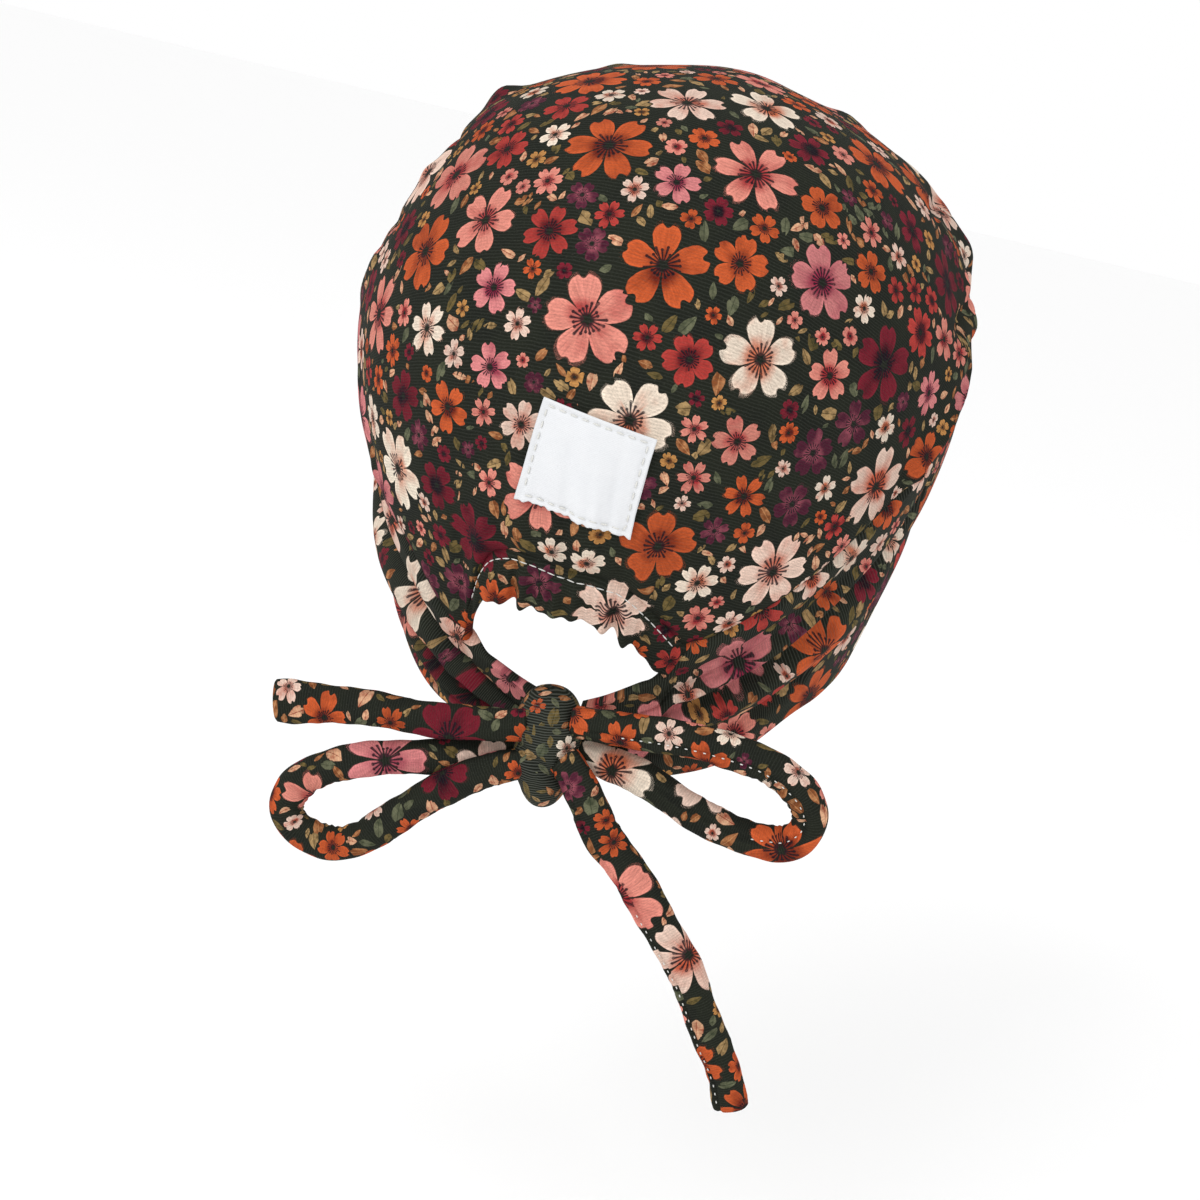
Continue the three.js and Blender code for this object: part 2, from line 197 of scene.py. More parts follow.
def makeJersey():
    p = Paint("printed_jersey")
    flat = p.node("ShaderNodeUVMap", {"uv_map": "cloth"})
    across, along, _ = p.parts(flat)
    u, v, _ = p.parts(p.node("ShaderNodeUVMap", {"uv_map": "bloom"}))
    kind = p.node("ShaderNodeAttribute", {"attribute_name": "kind"})
    petals, breadth, dice = p.parts(kind)
    leafy = p.node("ShaderNodeAttribute", {"attribute_name": "kind"}, out=3)
    petal = p.node("ShaderNodeAttribute", {"attribute_name": "petal"})
    heart = p.node("ShaderNodeAttribute", {"attribute_name": "heart"})
    stretch = p.node("ShaderNodeAttribute", {"attribute_name": "stretch"}, out=2)

    # a flower: polar places, the petal it is in, and a wavering edge as in a watercolour
    place = p.vector(u, v, dice * 40)
    waver = p.noise(place, 3.2, 3.0) - 0.5
    radius = (u * u + v * v).root()
    turn = v.math("ARCTAN2", u) / (2 * math.pi)
    step = turn * petals
    number = (step + 0.5).floor()
    petalDice = p.node(
        "ShaderNodeTexWhiteNoise", {"noise_dimensions": "2D"}, {"Vector": p.vector(number % petals, dice * 91)}
    )
    angle = (step - number) * (2 * math.pi) / petals
    reach = radius / (0.9 + 0.14 * petalDice)
    outward = reach * angle.cosine()
    sideways = (reach * angle.sine()).size()
    longWay = (outward - 0.55) / 0.46
    wideWay = sideways / (breadth * (0.42 + 0.86 * outward))
    notch = (sideways / 0.09).blend(1.5, 0.0) * outward.blend(0.7, 1.0) * (0.3 + 0.7 * petalDice)
    petalEdge = longWay * longWay + wideWay * wideWay + notch + waver * 0.42
    flower = petalEdge.blend(1.06, 0.94)

    # a leaf: pointed at both ends, with a midrib
    leafWide = v.size() / (breadth * (1.02 - u * u).most(0.02) * (1 + 0.3 * u))
    leaf = (leafWide + waver * 0.35).blend(1.06, 0.92) * u.size().blend(1.0, 0.94)
    midrib = (v.size() / 0.05).blend(1.0, 0.3) * leafy

    streaks = p.noise(p.vector(angle * 9, radius * 1.1, number * 3 + dice * 17), 2.2, 2.0)
    wash = p.noise(place, 1.6, 2.0)
    toHeart = radius.blend(0.66, 0.18) * (0.5 + 0.5 * dice) + (wash - 0.5) * 2.1 + (petalDice - 0.5) * 0.35
    leafToHeart = (wash - 0.42) * 3.2 + midrib * 0.7
    shareHeart = toHeart * (1 - leafy) + leafToHeart * leafy
    shareHeart = shareHeart.most(0.0).least(1.0)
    tone = p.mix(shareHeart, petal, heart)
    rimLight = petalEdge.blend(0.5, 0.95) * 0.2 + (streaks - 0.5) * 0.7 + 0.94
    tone = p.scale(tone, rimLight)
    fold = (sideways / 0.03).blend(1.0, 0.2) * outward.blend(0.62, 0.3) * (1 - leafy)
    tone = p.mix(fold * 0.45, tone, heart)

    # stamens: short dark strokes round a pale dot
    rays = turn * 19 + dice * 7
    ray = ((rays % 1.0) - 0.5).size()
    rayDice = p.node(
        "ShaderNodeTexWhiteNoise", {"noise_dimensions": "2D"}, {"Vector": p.vector(rays.floor() % 19.0, dice * 53)}
    )
    rayEnd = 0.21 + 0.2 * rayDice
    strokes = ray.blend(0.34, 0.16) * (radius - rayEnd).blend(0.02, -0.02)
    tip = (ray * ray * radius * radius * 0.11 + (radius - rayEnd - 0.02) * (radius - rayEnd - 0.02)).root()
    middle = (radius + waver * 0.16).blend(0.2, 0.12)
    dark = strokes.most(middle).most(tip.blend(0.045, 0.028)) * (1 - leafy)
    tone = p.mix(dark * 0.93, tone, jersey["ink"])
    tone = p.mix((radius.blend(0.06, 0.035) * (1 - leafy)), tone, jersey["pollen"])
    motif = flower * (1 - leafy) + leaf * leafy

    # the ground: clouded dye
    cloud = p.noise(flat, 0.07, 2.0)
    ground = p.mix(cloud.blend(0.35, 0.7) * 0.5, jersey["ground"], jersey["shade"])
    base = p.mix(motif, ground, tone)

    # the knit: fine ribs, white between them where the cloth is stretched, and a short fuzz
    drift = p.noise(flat, 0.12, 1.0) * 5
    rib = ((along / jersey["ribPitch"] + drift * 0.4) * (2 * math.pi)).sine() * 0.5 + 0.5
    fuzz = p.noise(flat, 2.6, 2.0, 0.7)
    grain = p.noise(p.vector(across * 0.5, along), 3.4, 2.0, 0.6)
    gap = (1 - rib) * (1 - rib) * (1 - rib)
    # the rib term paints the crests lighter and the grooves between ribs darker: painted shade in the grooves, beside
    # the bump's own shading
    base = p.scale(base, 0.68 + 0.1 * rib + (grain - 0.5) * 0.6)
    base = p.mix(fuzz.blend(0.55, 0.72) * 0.26, base, jersey["fuzz"])
    base = p.mix(gap * stretch * (0.34 - 0.12 * motif), base, jersey["stretched"])
    height = rib * (0.55 + 0.5 * stretch) + grain * 0.5 + fuzz * 0.25
    bump = p.node("ShaderNodeBump", {}, {"Strength": 0.4, "Distance": 0.0002, "Height": height})
    return p.finish(
        {
            "Base Color": base,
            "Roughness": 0.82 + (fuzz - 0.5) * 0.2,
            "Normal": bump,
            "Specular IOR Level": 0.05,
        }
    )


def makeReverse():
    # the unprinted side of the same cloth, where the dye shows through
    p = Paint("jersey_reverse")
    flat = p.node("ShaderNodeUVMap", {"uv_map": "cloth"})
    _, along, _ = p.parts(flat)
    rib = (along * (2 * math.pi / jersey["ribPitch"])).sine() * 0.5 + 0.5
    show = p.noise(flat, 0.11, 3.0)
    base = p.mix(show.blend(0.35, 0.7), paintColour(118, 118, 108), paintColour(150, 132, 120))
    # the rib term paints the crests lighter and the grooves darker: painted shade in the grooves
    base = p.scale(base, 0.86 + 0.2 * rib)
    bump = p.node("ShaderNodeBump", {}, {"Strength": 0.4, "Distance": 0.0002, "Height": rib})
    return p.finish({"Base Color": base, "Roughness": 0.9, "Normal": bump, "Sheen Weight": 0.1})


def makeSatin():
    p = Paint("label_satin")
    flat = p.node("ShaderNodeUVMap", {"uv_map": "cloth"})
    across, along, _ = p.parts(flat)
    warp = (along * (2 * math.pi / 0.42)).sine() * 0.5 + 0.5
    weft = (across * (2 * math.pi / 0.21) + (along / 0.42).floor() * 1.57).sine() * 0.5 + 0.5
    soft = p.noise(flat, 0.18, 2.0)
    base = p.mix(soft, paintColour(224, 225, 227), paintColour(216, 218, 221))
    # the warp and weft terms paint the thread crests lighter and the hollows between threads darker: painted shade in
    # the hollows
    base = p.scale(base, 0.93 + 0.06 * warp + 0.02 * weft)
    height = warp * 0.7 + weft * 0.3
    bump = p.node("ShaderNodeBump", {}, {"Strength": 0.35, "Distance": 0.00014, "Height": height})
    return p.finish(
        {"Base Color": base, "Roughness": 0.5 - 0.1 * weft, "Normal": bump, "Sheen Weight": 0.25}
    )


def makeThread():
    p = Paint("white_thread")
    place = p.node("ShaderNodeTexCoord", out=3)
    twist = p.noise(place, 2600.0, 2.0)
    base = p.mix(twist, paintColour(186, 185, 180), paintColour(236, 235, 230))
    bump = p.node("ShaderNodeBump", {}, {"Strength": 0.5, "Distance": 0.0001, "Height": twist})
    return p.finish({"Base Color": base, "Roughness": 0.7, "Normal": bump})


jerseyPaint = makeJersey()
reversePaint = makeReverse()
satinPaint = makeSatin()
threadPaint = makeThread()
print("materials made")

# ---- the floral print: motifs are strewn over each piece, and every face belongs to its nearest motif
printPlan = {
    "seed": 4107,
    "gap": 0.35,
    "sizes": [  # cloth for each one in mm2, radius in mm, spread of the radius, petals, and flower colours
        {"room": 1120, "radius": 10.4, "spread": 0.1, "petals": (5, 6), "tones": (0, 1, 2, 0, 4, 2, 7, 3, 1, 2)},
        {"room": 820, "radius": 6.5, "spread": 0.12, "petals": (5, 6, 5), "tones": (0, 1, 2, 5, 6, 2, 4, 3, 7)},
        {"room": 500, "radius": 4.0, "spread": 0.12, "petals": (5, 5, 6), "tones": (0, 7, 2, 5, 1, 6, 2, 3)},
        {"room": 400, "radius": 2.4, "spread": 0.2, "petals": (5, 4), "tones": (2, 8, 0, 6, 1, 8, 3)},
    ],
    "sprigRoom": 150,
    "leafRoom": 50,
    "tones": [  # petal and heart
        [(246, 214, 196), (202, 92, 62)],
        [(232, 146, 130), (176, 50, 54)],
        [(208, 94, 50), (116, 38, 24)],
        [(126, 32, 48), (32, 12, 24)],
        [(226, 138, 138), (150, 40, 70)],
        [(190, 66, 60), (96, 22, 30)],
        [(84, 32, 52), (176, 92, 106)],
        [(248, 230, 210), (214, 112, 74)],
        [(204, 146, 84), (112, 64, 30)],
    ],
    "leafTones": [
        [(116, 98, 58), (66, 60, 34)],
        [(176, 144, 98), (86, 68, 40)],
        [(104, 106, 82), (60, 66, 48)],
        [(134, 78, 44), (196, 138, 92)],
        [(222, 172, 136), (150, 70, 50)],
    ],
}


def strewMotifs(places, normals, areas, seedNumber, period=0.0, largest=12.0):
    # darts thrown at the faces, the large flowers first; places are in mm
    chance = np.random.default_rng(printPlan["seed"] + seedNumber)
    total = areas.sum()
    weights = np.cumsum(areas) / total
    motifs = []
    centres = np.zeros((0, 3))
    rooms = np.zeros(0)

    def hasRoom(point, radius):
        if not len(centres):
            return True
        away = centres - point
        if period:
            away[:, 1] = (away[:, 1] + period / 2) % period - period / 2
        return bool(np.all(np.linalg.norm(away, axis=1) > rooms + radius + printPlan["gap"]))

    def addMotif(point, normal, heading, size, room, petals, breadth, leafy, tones):
        nonlocal centres, rooms
        first, second = (paintColour(*tone) for tone in tones)
        lighter = 0.86 + 0.26 * chance.random()
        first = tuple(min(c * lighter, 1) for c in first[:3])
        dice = chance.random()
        side = np.cross(normal, heading)
        motifs.append((point, heading, side, size, petals, breadth, dice, leafy, first, second[:3]))
        centres = np.vstack([centres, point])
        rooms = np.append(rooms, room)

    def anyPlace():
        face = int(np.searchsorted(weights, chance.random()))
        normal = normals[face]
        heading = np.cross(normal, chance.normal(size=3))
        return places[face], normal, heading / np.linalg.norm(heading)

    for kind in printPlan["sizes"]:
        if kind["radius"] > largest:
            continue
        wanted = max(int(total / kind["room"]), 1)
        made = 0
        for _ in range(wanted * 30):
            if made == wanted:
                break
            point, normal, heading = anyPlace()
            size = kind["radius"] * (1 + kind["spread"] * chance.uniform(-1, 1))
            if not hasRoom(point, size):
                continue
            petals = kind["petals"][made % len(kind["petals"])]
            breadth = math.tan(math.pi / petals) * chance.uniform(0.44, 0.54)
            tones = printPlan["tones"][kind["tones"][int(chance.integers(len(kind["tones"])))]]
            addMotif(point, normal, heading, size, size * 0.93, petals, breadth, 0.0, tones)
            made += 1

    def addLeaf(point, normal, heading, tones):
        size = chance.uniform(1.3, 3.3)
        if hasRoom(point, size * 0.42):
            addMotif(point, normal, heading, size, size * 0.55, 1, chance.uniform(0.32, 0.55), 1.0, tones)

    for _ in range(int(total / printPlan["sprigRoom"]) * 2):
        point, normal, heading = anyPlace()
        side = np.cross(normal, heading)
        tones = printPlan["leafTones"][int(chance.integers(5))]
        for k in range(int(chance.integers(3, 6))):
            swing = 1 if k % 2 else -1
            spot = point + heading * (k * 3.4) + side * (swing * 2.6)
            tilt = heading * 0.75 + side * (0.66 * swing)
            addLeaf(spot, normal, tilt / np.linalg.norm(tilt), tones)
    for _ in range(int(total / printPlan["leafRoom"]) * 5):
        point, normal, heading = anyPlace()
        addLeaf(point, normal, heading, printPlan["leafTones"][int(chance.integers(5))])
    return motifs


def printOn(
    mesh, outside, flat, stretch, seedNumber, tubePeriod=0.0, largest=12.0, beside=None, motifs=None, laid=None
):
    # mesh is all quads. flat holds each vertex's place on the cloth, outside says which faces are printed, laid is
    # where each vertex would be without folds, beside is more ground to strew on, and motifs is a print to run on
    count = len(mesh.polygons)
    corners = np.empty(count * 4, dtype=np.int32)
    mesh.loops.foreach_get("vertex_index", corners)
    points = np.empty(len(mesh.vertices) * 3)
    mesh.vertices.foreach_get("co", points)
    points = points.reshape(-1, 3) / mm
    areas = np.empty(count)
    mesh.polygons.foreach_get("area", areas)
    normals = np.empty(count * 3)
    mesh.polygons.foreach_get("normal", normals)
    normals = normals.reshape(-1, 3)
    if laid is not None:
        points = laid
    if tubePeriod:
        points = np.column_stack([flat[:, 1] / 1.2, flat[:, 0], np.zeros(len(flat))])
        normals = np.tile([0.0, 0.0, 1.0], (count, 1))
    quads = points[corners].reshape(-1, 4, 3)
    if laid is not None:
        normals = np.cross(quads[:, 2] - quads[:, 0], quads[:, 3] - quads[:, 1])
        normals /= np.maximum(np.linalg.norm(normals, axis=1, keepdims=True), 1e-9)
    middles = quads.mean(axis=1)
    chosen = np.flatnonzero(outside)
    ground = [middles[chosen], normals[chosen], areas[chosen] / mm**2]
    if beside is not None:
        ground = [np.concatenate(pair) for pair in zip(ground, beside)]
    if motifs is None:
        motifs = strewMotifs(*ground, seedNumber, tubePeriod, largest)
    centres = np.array([motif[0] for motif in motifs])
    rooms = np.array([motif[3] * (0.5 if motif[7] else 0.96) for motif in motifs])
    nearest = np.empty(count, dtype=np.int32)
    for start in range(0, count, 4000):
        away = middles[start : start + 4000, None, :] - centres[None]
        if tubePeriod:
            away[..., 1] = (away[..., 1] + tubePeriod / 2) % tubePeriod - tubePeriod / 2
        nearest[start : start + 4000] = np.argmin(np.linalg.norm(away, axis=2) - rooms, axis=1)
    away = quads - centres[nearest][:, None, :]
    if tubePeriod:
        shift = middles[:, 1] - centres[nearest][:, 1]
        turns = np.round(shift / tubePeriod) * tubePeriod
        away[..., 1] -= turns[:, None]
    headings = np.array([motif[1] for motif in motifs])[nearest][:, None, :]
    sides = np.array([motif[2] for motif in motifs])[nearest][:, None, :]
    sizes = np.array([motif[3] for motif in motifs])[nearest][:, None]
    local = np.stack([(away * headings).sum(axis=2) / sizes, (away * sides).sum(axis=2) / sizes], axis=2)
    mesh.uv_layers.new(name="bloom").data.foreach_set("uv", local.astype(np.float32).ravel())
    kinds = np.array([[m[4], m[5], m[6], m[7]] for m in motifs])[nearest]
    petals = np.array([[*m[8], 1.0] for m in motifs])[nearest]
    hearts = np.array([[*m[9], 1.0] for m in motifs])[nearest]
    for name, values in (("kind", kinds), ("petal", petals), ("heart", hearts)):
        layer = mesh.color_attributes.new(name=name, type="FLOAT_COLOR", domain="CORNER")
        layer.data.foreach_set("color", np.repeat(values, 4, axis=0).astype(np.float32).ravel())
    pull = mesh.attributes.new(name="stretch", type="FLOAT", domain="POINT")
    pull.data.foreach_set("value", np.broadcast_to(stretch, len(mesh.vertices)).astype(np.float32))
    print("print strewn:", mesh.name, len(motifs), "motifs")
    return motifs


# ---- head form of the worn cap, the same as in the CAD part. A turn is an angle from the front in degrees,
# positive to the wearer's right, and a drop is a depth below the origin
form = {"width": 170.0, "back": 97.0, "front": 94.0, "height": 180.0}
headRows = np.array(  # drop, width, back, front, shift to the right
    [
        (0, 0, 0, 0, 0), (0.011, 0.17, 0.268, 0.275, -0.002), (0.05, 0.45, 0.536, 0.532, -0.01),
        (0.122, 0.707, 0.763, 0.745, -0.02), (0.222, 0.853, 0.907, 0.895, -0.021),
        (0.333, 0.952, 0.98, 0.968, -0.03), (0.444, 0.979, 1, 1, -0.046),
        (0.556, 0.947, 0.99, 0.99, -0.04), (0.656, 0.893, 0.95, 0.936, -0.018),
        (0.744, 0.842, 0.876, 0.872, -0.004), (0.833, 0.798, 0.794, 0.82, -0.001),
        (0.922, 0.737, 0.72, 0.755, 0.023), (1.022, 0.644, 0.67, 0.67, 0.05),
        (1.139, 0.518, 0.64, 0.6, 0.079),
    ]
)
bandRows = np.array(  # turn, low edge, rise to the seam
    [
        (-176, 0.995, 0.25), (-170, 1.003, 0.3), (-163, 1.008, 0.365), (-158, 1.007, 0.395),
        (-155, 1.006, 0.435), (-150, 1.003, 0.45), (-135, 1, 0.71), (-120, 0.972, 0.78),
        (-105, 0.917, 0.87), (-90, 0.839, 1.08), (-80, 0.789, 1.25), (-60, 0.644, 1.25),
        (-30, 0.511, 1.05), (0, 0.483, 1), (30, 0.511, 1.05), (60, 0.644, 1.32), (80, 0.775, 1.55),
        (90, 0.828, 1.63), (100, 0.862, 1.55), (105, 0.872, 1.34), (110, 0.883, 1.15), (120, 0.906, 1),
        (135, 0.978, 0.905), (150, 1.008, 0.725), (155, 1.009, 0.665), (158, 1.008, 0.52),
        (163, 1.008, 0.45), (170, 1.003, 0.34), (176, 0.995, 0.25),
    ]
)
napeRows = np.array(  # turn, stitched line, casing height
    [
        (155, 0.789, 0.8), (158.5, 0.771, 0.9), (163, 0.745, 1), (170, 0.711, 1), (180, 0.706, 1),
        (191.5, 0.699, 1.1), (197, 0.713, 0.95), (200, 0.742, 0.8), (202.5, 0.795, 0.55),
        (205, 0.862, 0.4),
    ]
)
puffRows = np.array(  # turn, spread, height, reach
    [
        (-104, 6, 0.25, 0.35), (-89, 5.5, 0.5, 0.4), (-75, 6, 1.1, 0.5), (-61, 4.5, 1.05, 0.48),
        (-47, 6, 1.45, 0.52), (-32, 5, 1.05, 0.45), (-18, 5.5, 1.1, 0.5), (-4, 5, 0.8, 0.42),
        (11, 5.5, 1.15, 0.5), (25, 5, 1.05, 0.48), (39, 5.5, 1.15, 0.5), (54, 5, 0.8, 0.5),
        (69, 5.5, 0.75, 0.46), (82, 4.5, 0.6, 0.4), (93, 5, 0.6, 0.32), (106, 5, 0.35, 0.3),
        (160, 2.2, 0.25, 0.12), (166, 2.4, 0.4, 0.16), (172, 2.2, 0.3, 0.14), (178, 2.4, 0.35, 0.16),
        (184, 2.2, 0.25, 0.12), (190, 2.6, 0.5, 0.2), (197, 2.4, 0.3, 0.14),
    ]
)
foldRows = np.array(  # turn and height at one end, turn and height at the other, depth, width
    [
        (100, 0.64, 172, 0.52, 1, 0.06), (104, 0.44, 172, 0.36, -0.4, 0.12),
        (120, 0.24, 172, 0.2, 0.8, 0.06), (66, 0.5, 122, 0.3, 0.5, 0.07),
        (116, 0.82, 168, 0.76, 0.4, 0.06), (-98, 0.86, -172, 0.62, 1, 0.06),
        (-102, 0.64, -172, 0.44, -0.4, 0.12), (-116, 0.42, -172, 0.24, 0.7, 0.06),
        (-64, 0.45, -118, 0.28, 0.5, 0.07), (-40, 0.3, 38, 0.34, 0.25, 0.06),
    ]
)


def headValue(column, level):
    rows = headRows[:, column]
    last = len(rows) - 1
    i = np.clip(np.floor(level).astype(int), 0, last - 1)
    f = level - i
    b, c = rows[i], rows[i + 1]
    a = np.where(i > 0, rows[np.maximum(i - 1, 0)], c if column in (0, 4) else -c)
    d = np.where(i + 2 <= last, rows[np.minimum(i + 2, last)], 2 * c - b)
    return 0.5 * (2 * b + (c - a) * f + (2 * a - 5 * b + 4 * c - d) * f**2 + (3 * b - a - 3 * c + d) * f**3)


def rowValue(rows, column, turn):
    turns, values = rows[:, 0], rows[:, column]
    last = len(rows) - 1
    k = np.arange(last + 1)
    before, after = np.maximum(k - 1, 0), np.minimum(k + 1, last)
    slopes = (values[after] - values[before]) / (turns[after] - turns[before])
    i = np.clip(np.searchsorted(turns, turn, side="right") - 1, 0, last - 1)
    span = turns[i + 1] - turns[i]
    f = np.clip((turn - turns[i]) / span, 0, 1)
    rise = values[i + 1] - values[i]
    start = np.where(i == 0, 0, slopes[i] * span)
    end = np.where(i == last - 1, rise, slopes[i + 1] * span)
    return values[i] + start * f + (3 * rise - 2 * start - end) * f**2 + (start + end - 2 * rise) * f**3


def smooth(value, low, high):
    share = np.clip((value - low) / (high - low), 0, 1)
    return share * share * (3 - 2 * share)


def formPoint(turn, level):
    angle = np.radians(turn)
    ahead = np.cos(angle) > 0
    depth = np.where(ahead, form["front"] * headValue(3, level), form["back"] * headValue(2, level))
    drop = form["height"] * headValue(0, level)
    x = form["width"] / 2 * (headValue(1, level) * np.sin(angle) + headValue(4, level))
    return np.stack([x, depth * np.cos(angle), -drop], axis=-1)


def formNormal(turn, level):
    step = 0.02
    inside = np.maximum(level, step)
    across = formPoint(turn + 1, inside) - formPoint(turn - 1, inside)
    down = formPoint(turn, inside + step) - formPoint(turn, inside - step)
    normal = np.cross(across, down)
    normal /= np.linalg.norm(normal, axis=-1, keepdims=True)
    return np.where((level < step)[..., None], np.array([0.0, 0.0, 1.0]), normal)


levelTable = np.linspace(0, len(headRows) - 1, 6001)
dropTable = form["height"] * headValue(0, levelTable)


def levelAt(drop):
    return np.interp(drop, dropTable, levelTable)


crown = {"wall": 1.6, "seamGap": 0.3, "corner": 155.0, "puff": 6.0, "columns": 380, "rows": 112, "innerRows": 56}
band = {
    "height": 59.0,
    "wall": 2.2,
    "endWall": 4.2,
    "endTurn": 175.5,
    "fold": 6.0,
    "columns": 500,
    "rows": 72,
    "innerRows": 40,
}
casing = {
    "height": 13.0,
    "wall": 3.0,
    "flush": 1.1,
    "endTurn": 154.5,
    "room": -0.9,
    "ruffle": 1.5,
    "columns": 150,
    "rows": 22,
    "innerRows": 6,
}


def signedTurn(turn):
    return (turn + 180) % 360 - 180


def bandLow(turn):
    return form["height"] * rowValue(bandRows, 1, turn)


def bandTop(turn):
    return bandLow(turn) - band["height"] * rowValue(bandRows, 2, turn) + crown["seamGap"] / 2


def stitchDrop(turn):
    return form["height"] * rowValue(napeRows, 1, turn % 360)


def crownEdge(turn):
    short = signedTurn(turn)
    front = bandTop(short) - crown["seamGap"]
    return np.where(np.abs(short) < crown["corner"], front, stitchDrop(short) - crown["seamGap"] / 2)


def gatherLift(turn, share, rows, height):
    lift = np.zeros(np.broadcast(turn, share).shape)
    for place, spread, high, reach in rows:
        away = ((turn - place) % 360 + 540) % 360 - 180
        inward = (1 - share) / reach
        lift += height * high * np.exp(-((away / spread) ** 2)) * 5.2 * inward * np.exp(-4 * inward**2)
    return lift


def fineGathers():
    # small pleats between the puffs, and longer ones above the elastic
    chance = np.random.default_rng(77)
    front = [
        [turn + chance.uniform(-1.5, 1.5)] + [chance.uniform(*ends) for ends in ((1.1, 2.4), (-1.3, 1.3), (0.07, 0.3))]
        for turn in np.arange(-122, 123, 3.3)
    ]
    nape = [
        [turn + chance.uniform(-0.8, 0.8)] + [chance.uniform(*ends) for ends in ((0.7, 1.6), (-1.1, 1.3), (0.06, 0.36))]
        for turn in np.arange(154, 207, 2.1)
    ]
    shoulders = [  # long gathers that show over the crown's outline
        (-96, 3.2, 0.39, 0.5), (-84, 3.4, 0.57, 0.75), (-72, 3.6, 0.78, 0.95), (-61, 3.2, -0.48, 0.9),
        (-53, 3.6, 0.96, 1.05), (-42, 3.4, -0.48, 1.0), (-34, 3.8, 0.54, 1.0), (-20, 4, 0.21, 0.9),
        (24, 4, 0.21, 0.9), (37, 3.6, 0.51, 1.0), (46, 3.2, -0.45, 1.0), (55, 3.6, 0.9, 1.05),
        (64, 3, -0.45, 0.9), (73, 3.4, 0.84, 0.95), (83, 3.2, 0.66, 0.8), (91, 2.8, -0.42, 0.7),
        (99, 3, 0.66, 0.6), (110, 3, 0.45, 0.5),
    ]
    return np.array(front + nape + shoulders)


fineRows = fineGathers()


# rolls and creases that run back from the front gathers over the outline
rollRows = [  # turn and share at one end, turn and share at the other, height, width
    (-80, 0.66, -110, 0.36, 2.6, 4.2), (-84, 0.6, -116, 0.45, -2.6, 2.4), (-84, 0.8, -112, 0.51, 1.2, 3.2),
    (-90, 0.8, -116, 0.58, -1.6, 2.4), (-94, 0.95, -113, 0.66, 1.6, 3.4), (-70, 0.5, -100, 0.24, 0.9, 4.5),
    (68, 0.66, 96, 0.5, 0.4, 4.2), (72, 0.74, 101, 0.6, -2.4, 2.6), (76, 0.88, 99, 0.7, 0.8, 4.2),
    (84, 0.9, 104, 0.8, -2.6, 2.4), (86, 1.0, 104, 0.86, 1.2, 3.6), (94, 1.0, 106, 0.9, -0.9, 2.2),
    (100, 1.0, 112, 0.97, 3.4, 4.0), (62, 0.5, 90, 0.36, 1.2, 4.0),
]


def rollLift(turn, share):
    turn, share = np.broadcast_arrays(np.asarray(turn, dtype=float), np.asarray(share, dtype=float))
    places = formPoint(turn, levelAt(crownEdge(turn)) * share)
    lift = np.zeros(turn.shape)
    for turnA, shareA, turnB, shareB, height, width in rollRows:
        turns, shares = np.array([turnA, turnB]), np.array([shareA, shareB])
        start, end = formPoint(turns, levelAt(crownEdge(turns)) * shares)
        way = end - start
        along = np.clip((places - start) @ way / (way @ way), 0, 1)
        away = np.linalg.norm(places - start - along[..., None] * way, axis=-1)
        lift += height * np.exp(-((away / width) ** 2))
    return lift * (1 - smooth(share, 0.95, 1.0))


def crownLift(turn, share):
    lift = gatherLift(turn, share, puffRows, crown["puff"]) + gatherLift(turn, share, fineRows, 1.0)
    angle = np.radians(turn)
    sway = 0.5 * np.sin(3 * angle + 5 * share) * np.sin(4.2 * share) + 0.35 * np.sin(7 * angle - 9 * share) * share
    return rollLift(turn, share) + lift + sway * smooth(share, 0.05, 0.3)


def bandLift(turn, share):
    ends = 1 - smooth(np.abs(turn), 162, 175)
    edges = np.minimum(np.minimum(share, 1 - share) * 8, 1)
    lift = np.zeros(np.broadcast(turn, share).shape)
    for turnA, heightA, turnB, heightB, depth, width in foldRows:
        along = (turn - turnA) / (turnB - turnA)
        inside = (along >= 0) & (along <= 1)
        height = heightA + (heightB - heightA) * along
        away = (share - height) / width
        swell = np.sin(math.pi * np.sqrt(np.clip(along, 0, 1)))
        lift -= np.where(inside, band["fold"] * depth * swell * np.exp(-(away**2)), 0)
    return np.maximum(lift, -0.8 * band["fold"]) * ends * edges


# ---- surfaces: a flat grid from a bmesh operator is laid over the form
def flatGrid(name, columns, rows):
    bm = bmesh.new()
    bmesh.ops.create_grid(bm, x_segments=columns, y_segments=rows, size=1)
    mesh = bpy.data.meshes.new(name)
    bm.to_mesh(mesh)
    bm.free()
    places = np.empty(len(mesh.vertices) * 3)
    mesh.vertices.foreach_get("co", places)
    places = (places.reshape(-1, 3) + 1) / 2
    return mesh, places[:, 0], places[:, 1]


printed = {}


